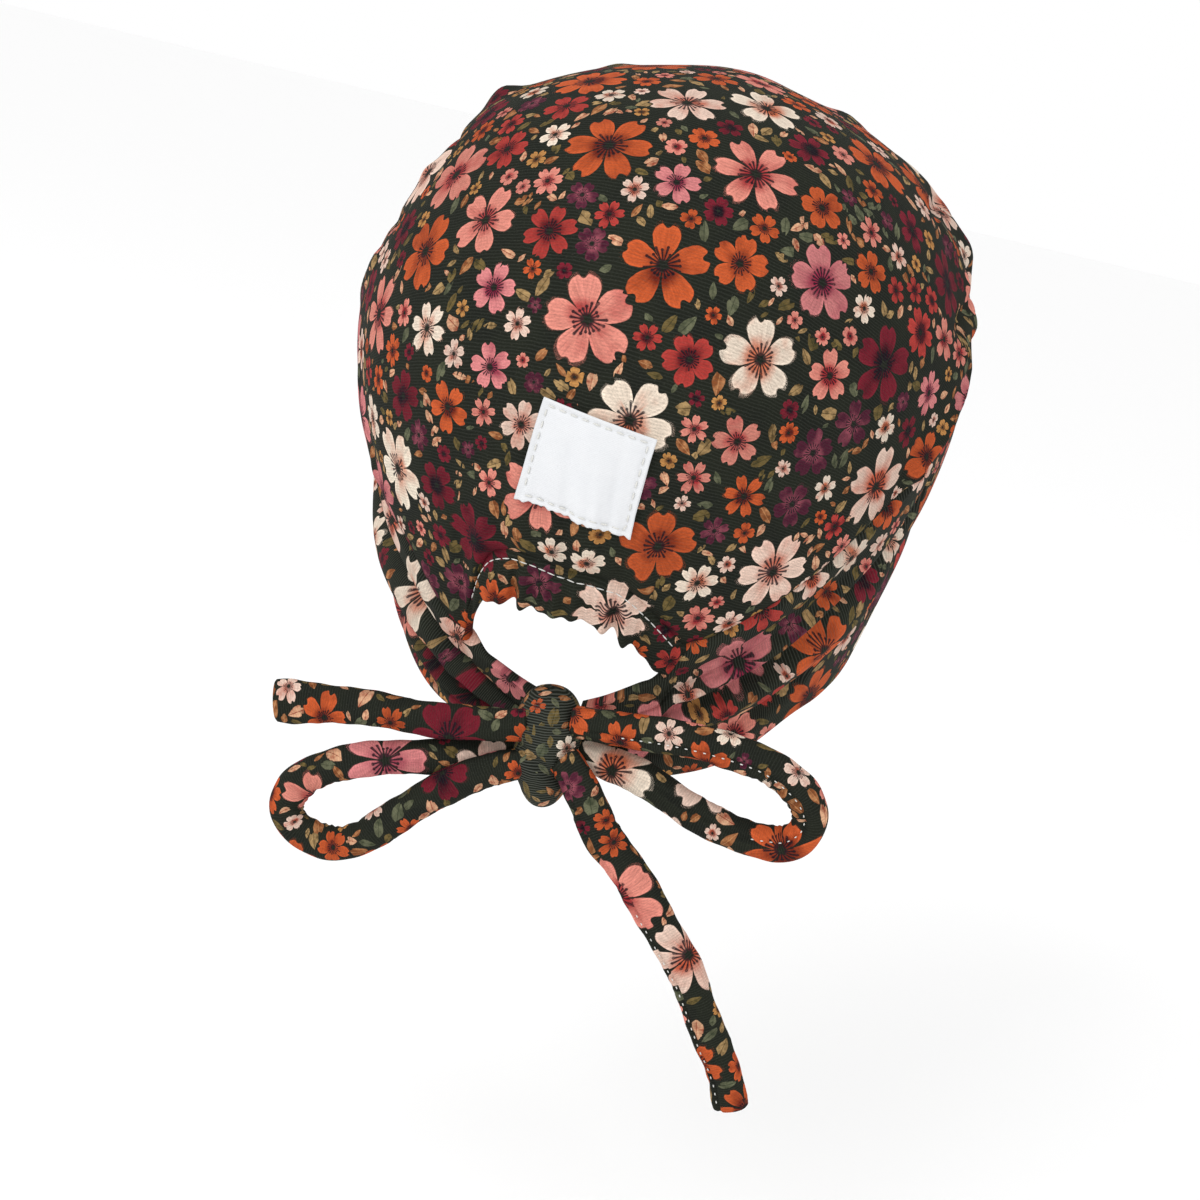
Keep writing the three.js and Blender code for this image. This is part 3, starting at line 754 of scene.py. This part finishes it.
def addPiece(mesh, points, flat, paints, outside, stretch, seedNumber, period=0.0, largest=12.0, fill=False, **printMore):
    # points and flat places belong to the grid's own vertices, before its seams are merged
    mesh.vertices.foreach_set("co", (points * mm).ravel())
    mesh.update()
    corners = np.empty(len(mesh.loops), dtype=np.int32)
    mesh.loops.foreach_get("vertex_index", corners)
    mesh.uv_layers.new(name="cloth").data.foreach_set("uv", flat[corners].astype(np.float32).ravel())
    vertexOut = outside[corners].reshape(-1, 4).mean(axis=1) > 0.1
    if seedNumber:
        printed[mesh.name] = printOn(mesh, vertexOut, flat, stretch, seedNumber, period, largest, **printMore)
    for paint in paints:
        mesh.materials.append(paint)
    if len(paints) > 1:
        mesh.polygons.foreach_set("material_index", np.where(vertexOut, 0, 1).astype(np.int32))
    bm = bmesh.new()
    bm.from_mesh(mesh)
    bmesh.ops.remove_doubles(bm, verts=bm.verts, dist=2e-6)
    if fill:
        bmesh.ops.holes_fill(bm, edges=[edge for edge in bm.edges if edge.is_boundary], sides=0)
    bmesh.ops.recalc_face_normals(bm, faces=bm.faces)
    for face in bm.faces:
        face.smooth = True
    bm.to_mesh(mesh)
    bm.free()
    piece = bpy.data.objects.new(mesh.name, mesh)
    bpy.context.collection.objects.link(piece)
    area = sum(face.area for face in mesh.polygons) / 2
    print("piece made:", piece.name, len(mesh.polygons), "faces", round(area, 5), "m2")
    return piece


def wallRows(rows, innerRows, closed, rim):
    # a section from its top, down the outer face, round the lower rim and up the inner face. Each row has a
    # share of the way down and a side, 1 outside and 0 inside
    outer = np.linspace(0, 1, rows + 1)
    inner = np.linspace(1, 0, innerRows + 1)
    roll = [(0.12, 0.82), (0.0, 0.5), (0.12, 0.18)]
    below = [(1 - rim * far, side) for far, side in roll]
    if closed:
        above = [(rim * far, side) for far, side in roll]
        face = rim + (1 - 2 * rim) * outer
        back = rim + (1 - 2 * rim) * inner
        faces = [(s, 1.0) for s in face] + below + [(s, 0.0) for s in back]
        pairs = [above[1], above[0]] + faces + [above[2], above[1]]
    else:
        pairs = [(s * (1 - rim), 1.0) for s in outer] + below + [(s * (1 - rim), 0.0) for s in inner]
    return np.array(pairs)


def wallPiece(name, turns, section, place, flatPlace, **more):
    mesh, u, v = flatGrid(name, len(turns) - 1, len(section) - 1)
    column = np.rint(u * (len(turns) - 1)).astype(int)
    row = np.rint(v * (len(section) - 1)).astype(int)
    turn, share, side = turns[column], section[row, 0], section[row, 1]
    points, level = place(turn, share, side)
    laid = formPoint(turn, level)
    return addPiece(mesh, points, flatPlace(turn, share, points), outside=side > 0.1, laid=laid, **more)


def crownFlat(turn, share, points):
    # the dome laid flat round a place high on the back
    middle = np.array([0.0, 0.0, -84.0])
    out = points - middle
    out /= np.linalg.norm(out, axis=1, keepdims=True)
    tilt = math.radians(38)
    toward = out[:, 2] * math.sin(tilt) - out[:, 1] * math.cos(tilt)
    up = out[:, 2] * math.cos(tilt) + out[:, 1] * math.sin(tilt)
    away = np.arccos(np.clip(toward, -1, 1))
    scale = 90 * away / np.maximum(np.hypot(out[:, 0], up), 1e-6)
    return np.column_stack([out[:, 0] * scale, up * scale])


def makeCrown():
    turns = np.linspace(0, 360, crown["columns"] + 1)
    section = wallRows(crown["rows"], crown["innerRows"], False, 0.008)

    def place(turn, share, side):
        edge = levelAt(crownEdge(turn))
        level = edge * share
        lift = crown["wall"] * side + crownLift(turn, share) - 0.7 * smooth(share, 0.975, 1.0)
        return formPoint(turn, level) + formNormal(turn, level) * lift[:, None], level

    # the casing is turned up from the same cloth, so the print runs on over it
    spots = np.array([(t, d) for t in np.arange(157.5, 203, 1.5) for d in np.arange(1, 14, 1.5)])
    level = levelAt(stitchDrop(signedTurn(spots[:, 0])) + spots[:, 1])
    beside = (formPoint(spots[:, 0], level), formNormal(spots[:, 0], level), np.full(len(spots), 2.6))
    return wallPiece(
        "crown_cloth", turns, section, place, crownFlat,
        paints=[jerseyPaint, reversePaint], stretch=0.12, seedNumber=1, beside=beside,
    )


def makeBand():
    turns = np.linspace(-band["endTurn"], band["endTurn"], band["columns"] + 1)
    section = wallRows(band["rows"], band["innerRows"], True, 0.02)
    chance = np.random.default_rng(12)
    pleats = [
        (
            side * chance.uniform(112, 140), chance.uniform(0.1, 0.95), side * chance.uniform(150, 172),
            chance.uniform(-0.15, 0.15), chance.uniform(-0.9, 1.0), chance.uniform(0.02, 0.045),
        )
        for side in (1, -1)
        for _ in range(11)
    ]
    pleats += [  # start, height there, end, drift, depth, width: the deep folds and the rolled edge by the knot
        (110, 0.22, 174, 0.16, -2.8, 0.03), (110, 0.29, 174, 0.16, 2.4, 0.035),
        (116, 0.46, 174, 0.08, -2.8, 0.03), (116, 0.53, 174, 0.08, 2.2, 0.035),
        (124, 0.7, 175, 0.0, -2.4, 0.03), (124, 0.77, 175, 0.0, 2.0, 0.035),
        (-140, 0.3, -177, 0.12, -2.4, 0.035), (-140, 0.4, -177, 0.12, 3.2, 0.05),
        (-140, 0.52, -177, 0.12, -2.6, 0.035), (-116, 0.66, -176, 0.08, -2.2, 0.03),
        (-116, 0.74, -176, 0.08, 2.0, 0.035),
    ]

    def place(turn, share, side):
        thick = smooth(np.abs(turn), crown["corner"], band["endTurn"])
        wall = band["wall"] + (band["endWall"] - band["wall"]) * thick
        tuck = (1 - smooth(share, 0.0, 0.035)) * (1 - smooth(np.abs(turn), 156, 161))
        level = levelAt(bandTop(turn) + (bandLow(turn) - bandTop(turn)) * share - 1.4 * tuck)
        lift = wall * side * (1 - tuck) - tuck * (1.0 - 0.7 * side) + bandLift(turn, 1 - share)
        for start, height, end, drift, depth, width in pleats:
            along = np.clip((turn - start) / (end - start), 0, 1)
            away = (share - height - drift * along) / width
            lift += depth * np.sin(math.pi * along) * np.exp(-(away**2))
        lift += 0.25 * np.sin(np.radians(turn) * 11 + share * 7) * np.sin(math.pi * share)
        return formPoint(turn, level) + formNormal(turn, level) * lift[:, None], level

    def flatPlace(turn, share, points):
        return np.column_stack([-share * 70, turn * 1.6])

    return wallPiece(
        "brow_band_cloth", turns, section, place, flatPlace,
        paints=[jerseyPaint, reversePaint], stretch=0.3, seedNumber=2, fill=True,
    )


def casingEdges(turn):
    short = signedTurn(turn)
    top = stitchDrop(short) + crown["seamGap"] / 2
    angle = np.radians(turn)
    size = 0.65 + 0.35 * np.sin(13 * angle + 1)
    wave = np.cos(47 * (angle - math.radians(159)) + 1.7 * np.sin(19 * angle)) * size
    ruffle = casing["ruffle"] * (wave + 0.25 * np.sin(97 * angle))
    hem = top + casing["height"] * rowValue(napeRows, 2, turn % 360) + 0.6 * ruffle
    return top, np.maximum(np.minimum(hem, bandTop(short) - casing["room"]), top + 0.6), ruffle


def casingLift(turn, share, ruffle):
    angle = np.radians(turn)
    gathers = 0.4 * np.sin(angle * 141 + 2 * np.sin(angle * 37)) * np.sin(math.pi * share)
    proud = casing["wall"] - casing["flush"]
    return casing["flush"] + proud * smooth(share, 0.0, 0.4) * 0.6 + ruffle * share + gathers


def makeCasing():
    turns = np.linspace(casing["endTurn"], 360 - casing["endTurn"], casing["columns"] + 1)
    section = wallRows(casing["rows"], casing["innerRows"], True, 0.06)

    def place(turn, share, side):
        top, low, ruffle = casingEdges(turn)
        tuck = 1 - smooth(share, 0.0, 0.12)
        level = levelAt(top + (low - top) * share - 1.6 * tuck)
        lift = casingLift(turn, share, ruffle) * side
        lift = lift * (1 - tuck) - tuck * (1.0 - 0.7 * side)
        return formPoint(turn, level) + formNormal(turn, level) * lift[:, None], level

    return wallPiece(
        "nape_casing_cloth", turns, section, place, crownFlat,
        paints=[jerseyPaint, reversePaint], stretch=0.12, seedNumber=3, fill=True, motifs=printed["crown_cloth"],
    )


# ---- ties: turned tubes of the same jersey along the CAD part's routes
tie = {"diameter": 8.6, "flatness": 0.9, "swell": 1.07, "pinch": 0.84, "around": 40, "step": 0.75}
tieRoutes = {
    "right_loop": [
        (7.6, -83.5, -166.3), (13.3, -84.5, -165.5), (23.3, -86, -163.8), (32.4, -87.5, -162.2),
        (42, -88.7, -161.2), (51.1, -89, -161.2), (58.3, -89, -162), (64.3, -88.4, -164.5),
        (69.2, -87.4, -168), (72, -86, -172.8), (71.6, -84.8, -177.7), (67.9, -83.6, -182.3),
        (61.1, -82.8, -184), (54, -82.2, -184.1), (44.7, -81.6, -182.4), (35, -81, -179.3),
        (25.2, -80.2, -176.8), (17.8, -79.2, -176.2), (13, -78.4, -175.9), (8.4, -77.7, -175.5),
    ],
    "left_loop": [
        (-4.8, -77.6, -179.3), (-9.2, -78.2, -181), (-16.5, -80, -183.4), (-25.7, -83, -185.8),
        (-34.7, -85.6, -187.9), (-43.8, -87.4, -190.9), (-51.9, -88.2, -194.7), (-58.7, -88.2, -200.3),
        (-61.7, -87.6, -207.4), (-59.8, -87, -212.8), (-53.7, -86.5, -215.8), (-46.7, -86.2, -216.1),
        (-40.4, -86, -212.5), (-34.4, -86, -206.1), (-28.7, -86, -200.2), (-23, -86, -194.2),
        (-17.3, -85.6, -189), (-11.5, -85, -185), (-7.2, -84.5, -182.8), (-2.1, -84, -180.6),
    ],
    "left_tail": [
        (-3.7, -84.6, -170.3), (-7.7, -85, -171.4), (-14, -85.8, -172.7), (-23.4, -86.8, -174.3),
        (-33.3, -87.6, -175.5), (-43.1, -88.2, -176.2), (-56.4, -88.8, -178.1), (-68.5, -89.2, -180.9),
    ],
    "right_tail": [
        (7.3, -86, -175.9), (10.1, -86.4, -178), (17.2, -87.4, -186.1), (22, -87.8, -192.4),
        (28.4, -88, -197.9), (34.8, -88, -203.8), (44.9, -87.4, -215.1), (51.8, -87, -223.1),
        (56.8, -86.6, -230.9), (61.9, -86, -239.1), (67.3, -85.4, -247.3), (71, -84.8, -255.2),
    ],
}


def smoothRoute(route, step):
    # a curve through the chosen points, with places at even steps along it
    knots = np.array(route, dtype=float)
    ends = np.vstack([2 * knots[0] - knots[1], knots, 2 * knots[-1] - knots[-2]])
    pieces = []
    f = np.linspace(0, 1, 24, endpoint=False)[:, None]
    for a, b, c, d in zip(ends, ends[1:], ends[2:], ends[3:]):
        square, cube = 2 * a - 5 * b + 4 * c - d, 3 * b - a - 3 * c + d
        pieces.append(0.5 * (2 * b + (c - a) * f + square * f**2 + cube * f**3))
    curve = np.vstack(pieces + [knots[-1:]])
    lengths = np.concatenate([[0], np.cumsum(np.linalg.norm(np.diff(curve, axis=0), axis=1))])
    along = np.linspace(0, lengths[-1], int(round(lengths[-1] / step)) + 1)
    return np.column_stack([np.interp(along, lengths, curve[:, k]) for k in range(3)]), along


def tieFrames(centres):
    heading = np.gradient(centres, axis=0)
    heading /= np.linalg.norm(heading, axis=1, keepdims=True)
    facing = np.array([0.0, -1.0, 0.0]) - heading * -heading[:, 1:2]
    facing /= np.linalg.norm(facing, axis=1, keepdims=True)
    return heading, facing, np.cross(heading, facing)


def tieProfile(name, along, length):
    # half width and half depth along the tie
    half = tie["diameter"] / 2
    near = 1 - (1 - tie["pinch"]) * (1 - smooth(along, 0, 12))
    if "loop" in name:
        near = near - (1 - tie["pinch"]) * smooth(along, length - 12, length)
    sway = 1 + 0.035 * np.sin(along * 0.31 + 1) + 0.02 * np.sin(along * 0.83)
    width = half * near * sway * tie["swell"]
    depth = half * tie["flatness"] * near * (2 - sway)
    if name == "left_tail":
        flare = smooth(along, length - 26, length - 2)
        width = width * (1 + 0.26 * flare)
        depth = depth * (1 - 0.3 * flare)
    if name == "right_tail":
        width = width * (1.06 + 0.05 * np.sin(along * 0.05))
    return width, depth


seamAngles = {"right_loop": 0.3, "left_loop": 3.5, "left_tail": 2.7, "right_tail": 0.75}


def makeTie(name, number):
    centres, along = smoothRoute(tieRoutes[name], tie["step"])
    length = along[-1]
    heading, facing, side = tieFrames(centres)
    width, depth = tieProfile(name, along, length)
    bend = np.gradient(heading, along, axis=0)
    # the free end is tucked in and flat, and the ends in the knot are plain
    rim = [(0.0, 1.0), (0.5, 0.985), (0.9, 0.9), (1.0, 0.72), (0.8, 0.5), (0.7, 0.0)]
    start = [(0.0, 0.0), (0.0, 0.6)]
    stations = [(0, a, s) for a, s in start] + [(k, 0.0, 1.0) for k in range(len(along))]
    stations += [(len(along) - 1, a, s) for a, s in rim[1:]]
    stations = np.array(stations)
    mesh, u, v = flatGrid(name + "_cloth", len(stations) - 1, tie["around"])
    station = np.rint(u * (len(stations) - 1)).astype(int)
    k = stations[station, 0].astype(int)
    ahead, shrink = stations[station, 1], stations[station, 2]
    angle = 2 * math.pi * v
    away = along[k]
    near = np.exp(-away / 9) + (np.exp(-(length - away) / 9) if "loop" in name else 0)
    fold = 0.1 * near * np.sin(5 * angle + 0.5 * np.sin(away * 0.3))
    fold = fold + 0.035 * np.sin(3 * angle + away * 0.22) * (1 - near)
    towards = (bend[k] * facing[k]).sum(axis=1) * np.cos(angle) + (bend[k] * side[k]).sum(axis=1) * np.sin(angle)
    fold = fold + np.clip(towards * 9, 0, 0.5) * 0.09 * np.sin(away * 1.7 + 2 * np.sin(away * 0.37))
    seamAway = (angle - seamAngles[name] + math.pi) % (2 * math.pi) - math.pi
    fold = fold - 0.14 * np.exp(-((seamAway / 0.15) ** 2)) * 1.9 + 0.03 * np.exp(-((seamAway / 0.35) ** 2))
    reach = (1 + fold) * shrink
    points = (
        centres[k]
        + heading[k] * ahead[:, None]
        + facing[k] * (depth[k] * np.cos(angle) * reach)[:, None]
        + side[k] * (width[k] * np.sin(angle) * reach)[:, None]
    )
    girth = math.pi * tie["diameter"] * 0.93
    flat = np.column_stack([v * girth, away * 1.2 + ahead])
    piece = addPiece(
        mesh, points, flat, [jerseyPaint], np.ones(len(points), dtype=bool), 0.1, 10 + number, girth, 11.0
    )
    path = [tuple(point * mm) for point in centres[::3]]
    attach(piece, "root")
    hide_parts(name)
    return piece, path, length * mm


def stitchRow(name, places, normals, length, gap, thick):
    # short raised threads along a line of places, each a slim rounded bead
    steps = np.concatenate([[0], np.cumsum(np.linalg.norm(np.diff(places, axis=0), axis=1))])
    bm = bmesh.new()
    begin = gap / 2
    while begin + length < steps[-1]:
        ends = np.array([[np.interp(t, steps, places[:, k]) for k in range(3)] for t in (begin, begin + length)])
        normal = np.array([np.interp(begin + length / 2, steps, normals[:, k]) for k in range(3)])
        way = Vector((ends[1] - ends[0]).tolist()).normalized()
        up = Vector(normal.tolist())
        up = (up - way * up.dot(way)).normalized()
        turned = Matrix((way, up.cross(way), up)).transposed().to_4x4()
        middle = Vector((ends.mean(axis=0) * mm).tolist())
        size = Matrix.Diagonal((length / 2 * mm, thick / 2 * mm, thick / 2 * mm, 1))
        bmesh.ops.create_uvsphere(
            bm, u_segments=6, v_segments=6, radius=1, matrix=Matrix.Translation(middle) @ turned @ size
        )
        begin += length + gap
    for face in bm.faces:
        face.smooth = True
    mesh = bpy.data.meshes.new(name)
    bm.to_mesh(mesh)
    bm.free()
    mesh.materials.append(threadPaint)
    piece = bpy.data.objects.new(name, mesh)
    bpy.context.collection.objects.link(piece)
    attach(piece, "root")
    return piece


def makeTies():
    for number, name in enumerate(tieRoutes):
        piece, path, length = makeTie(name, number)
        if name in ("right_loop", "right_tail"):
            tieStitches(name)
    print("ties made")


def tieStitches(name):
    centres, along = smoothRoute(tieRoutes[name], tie["step"])
    heading, facing, side = tieFrames(centres)
    width, depth = tieProfile(name, along, along[-1])
    angle = seamAngles[name]
    normal = facing * math.cos(angle) + side * math.sin(angle)
    sunk = 0.96  # the thread lies in the seam's groove
    places = centres + facing * (depth * math.cos(angle) * sunk)[:, None]
    places = places + side * (width * math.sin(angle) * sunk)[:, None]
    first, last = {"right_loop": (14, 92), "right_tail": (44, 112)}[name]
    rows = slice(int(first / tie["step"]), int(last / tie["step"]))
    return stitchRow(name + "_stitches", places[rows], normal[rows], 0.9, 1.5, 0.34)


makeTies()
crownPiece = makeCrown()
bandPiece = makeBand()
casingPiece = makeCasing()

# ---- label: bare woven satin, sewn on all round, frayed at its lower edge
label = {
    "width": 28.0, "height": 25.5, "wall": 0.8, "gap": 0.5, "depth": 99.0, "turn": 7.0, "inset": 1.5, "shift": 1.8,
}


def labelPlace(across, rise, lift):
    tilt = math.radians(label["turn"])
    x = across * math.cos(tilt) + rise * math.sin(tilt)
    high = rise * math.cos(tilt) - across * math.sin(tilt)
    level = levelAt(label["depth"] - high)
    turn = 180 - np.degrees(np.arcsin((x + label["shift"]) / (form["width"] / 2 * headValue(1, level))))
    edge = levelAt(crownEdge(turn))
    seat = crown["wall"] + label["gap"] + crownLift(turn, level / edge)
    normal = formNormal(turn, level)
    return formPoint(turn, level) + normal * (seat + lift)[:, None], normal


def makeLabel():
    section = wallRows(56, 12, True, 0.02)
    mesh, u, v = flatGrid("label_satin_cloth", 64, len(section) - 1)
    row = np.rint(v * (len(section) - 1)).astype(int)
    share, side = section[row, 0], section[row, 1]
    across = (0.5 - u) * label["width"]
    fray = 0.35 * np.abs((u * 17) % 2 - 1) + 0.15 * np.sin(u * 90)
    rise = (0.5 - share) * label["height"] - (fray - 0.2) * smooth(share, 0.93, 1.0)
    fromEdge = np.minimum(label["width"] / 2 - np.abs(across), label["height"] / 2 - np.abs(rise))
    pressed = -0.34 * np.exp(-(((fromEdge - label["inset"]) / 0.5) ** 2))
    curl = 0.3 * smooth(-fromEdge, -1.0, 0.0)
    swell = 0.12 * np.sin(across * 0.5 + rise * 0.3) * smooth(fromEdge, 2, 5)
    points, _ = labelPlace(across, rise, (label["wall"] + pressed * 0.8) * side + curl + swell)
    flat = np.column_stack([across, rise])
    ones = np.ones(len(points), dtype=bool)
    return addPiece(mesh, points, flat, [satinPaint], ones, 0.0, 0, fill=True)


def labelStitches():
    halfWide, halfHigh = (label[key] / 2 - label["inset"] for key in ("width", "height"))
    signs = [(-1, -1), (1, -1), (1, 1), (-1, 1), (-1, -1)]
    corners = [(halfWide * a, halfHigh * b) for a, b in signs]
    across = np.concatenate([np.linspace(a[0], b[0], 40) for a, b in zip(corners, corners[1:])])
    rise = np.concatenate([np.linspace(a[1], b[1], 40) for a, b in zip(corners, corners[1:])])
    places, normals = labelPlace(across, rise, np.full(len(across), label["wall"] - 0.05))
    return stitchRow("label_stitches", places, normals, 2.1, 0.9, 0.46)


labelPiece = makeLabel()
labelThread = labelStitches()


# ---- white topstitching along the nape casing
def napeStitches():
    turns = np.linspace(157.5, 202.5, 240)
    top, low, ruffle = casingEdges(turns)
    drop = top + 1.7
    share = (drop - top) / (low - top)
    level = levelAt(drop)
    normals = formNormal(turns, level)
    lift = casingLift(turns, share, ruffle) * smooth(share, 0.0, 0.12) + 0.05
    places = formPoint(turns, level) + normals * lift[:, None]
    return stitchRow("nape_stitches", places, normals, 2.3, 0.35, 0.36)


napeThread = napeStitches()

# ---- knot: one lap of the tie drawn over the four ends, wide above and narrow below
knot = {
    "width": 17.0, "height": 32.5, "depth": 20.0, "lean": 7.5, "taper": 0.17, "seat": 11.0, "shift": -1.2, "drop": 4.5,
}


def makeKnot():
    mesh, u, v = flatGrid("knot_cloth", 72, 56)
    angle = 2 * math.pi * u
    polar = math.pi * v
    high = np.cos(polar)
    ring = np.sin(polar) ** 0.8
    x, y = ring * np.sin(angle), -ring * np.cos(angle)
    wide = knot["width"] / 2 * (1 + knot["taper"] * high)
    front = np.clip(-y, 0, 1)
    waist = 0.24 * np.exp(-(((high + 0.16 + 0.3 * x) / 0.13) ** 2)) * (0.35 + 0.65 * front)
    crease = 0.07 * np.exp(-(((high - 0.2 - 0.5 * x) / 0.07) ** 2)) * smooth(x, -0.1, 0.7) * front
    crease = crease + 0.06 * np.exp(-(((high + 0.42 - 0.35 * x) / 0.06) ** 2)) * smooth(-x, -0.2, 0.6) * front
    swell = 1.04 - waist - crease
    local = np.column_stack([x * wide * swell, y * knot["depth"] / 2 * swell, high * knot["height"] / 2])
    lean = math.radians(knot["lean"])
    turned = np.column_stack(
        [
            local[:, 0] * math.cos(lean) - local[:, 2] * math.sin(lean),
            local[:, 1],
            local[:, 2] * math.cos(lean) + local[:, 0] * math.sin(lean),
        ]
    )
    middle = (bandTop(np.array([band["endTurn"]])) + bandLow(np.array([band["endTurn"]]))) / 2
    seat = formPoint(np.array([180.0]), levelAt(middle))[0]
    points = turned + seat + np.array([knot["shift"], -knot["seat"], -knot["drop"]])
    flat = np.column_stack([angle * 8, high * 20])
    ones = np.ones(len(points), dtype=bool)
    return addPiece(mesh, points, flat, [jerseyPaint], ones, 0.6, 5, largest=4.6)


knotPiece = makeKnot()

for piece, node, slot in (
    (crownPiece, "crown", "printed_jersey"),
    (bandPiece, "brow_band", "printed_jersey"),
    (casingPiece, "nape_casing", "printed_jersey"),
    (labelPiece, "label", "label_satin"),
    (knotPiece, "knot", "printed_jersey"),
):
    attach(piece, "root")
    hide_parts(node)

# ---- studio
studio = {"floorDrop": 0.34, "sky": 1.0, "key": 8.0, "fill": 1.0}


def makeStudio():
    bm = bmesh.new()
    bmesh.ops.create_grid(bm, x_segments=1, y_segments=1, size=12)
    bmesh.ops.translate(bm, verts=bm.verts, vec=(0, 0, -studio["floorDrop"]))
    mesh = bpy.data.meshes.new("floor")
    bm.to_mesh(mesh)
    bm.free()
    paint = Paint("pale_floor")
    mesh.materials.append(paint.finish({"Base Color": (0.97, 0.97, 0.97, 1), "Roughness": 1.0}))
    floor = bpy.data.objects.new("floor", mesh)
    bpy.context.collection.objects.link(floor)
    world = bpy.data.worlds.new("studio")
    world.use_nodes = True
    sky = world.node_tree.nodes["Background"]
    sky.inputs["Color"].default_value = (1, 1, 1, 1)
    sky.inputs["Strength"].default_value = studio["sky"]
    bpy.context.scene.world = world
    bpy.context.scene.view_settings.view_transform = "Standard"
    for name, place, power, size in (
        ("key", (-0.7, -1.1, 0.9), studio["key"], 0.8),
        ("fill", (0.9, -0.9, 0.3), studio["fill"], 1.0),
    ):
        data = bpy.data.lights.new(name, "AREA")
        data.energy = power
        data.size = size
        light = bpy.data.objects.new(name, data)
        aim = Vector((0, 0, -0.1)) - Vector(place)
        light.matrix_world = Matrix.Translation(Vector(place)) @ aim.to_track_quat("-Z", "Y").to_matrix().to_4x4()
        bpy.context.collection.objects.link(light)


makeStudio()
print("studio made")
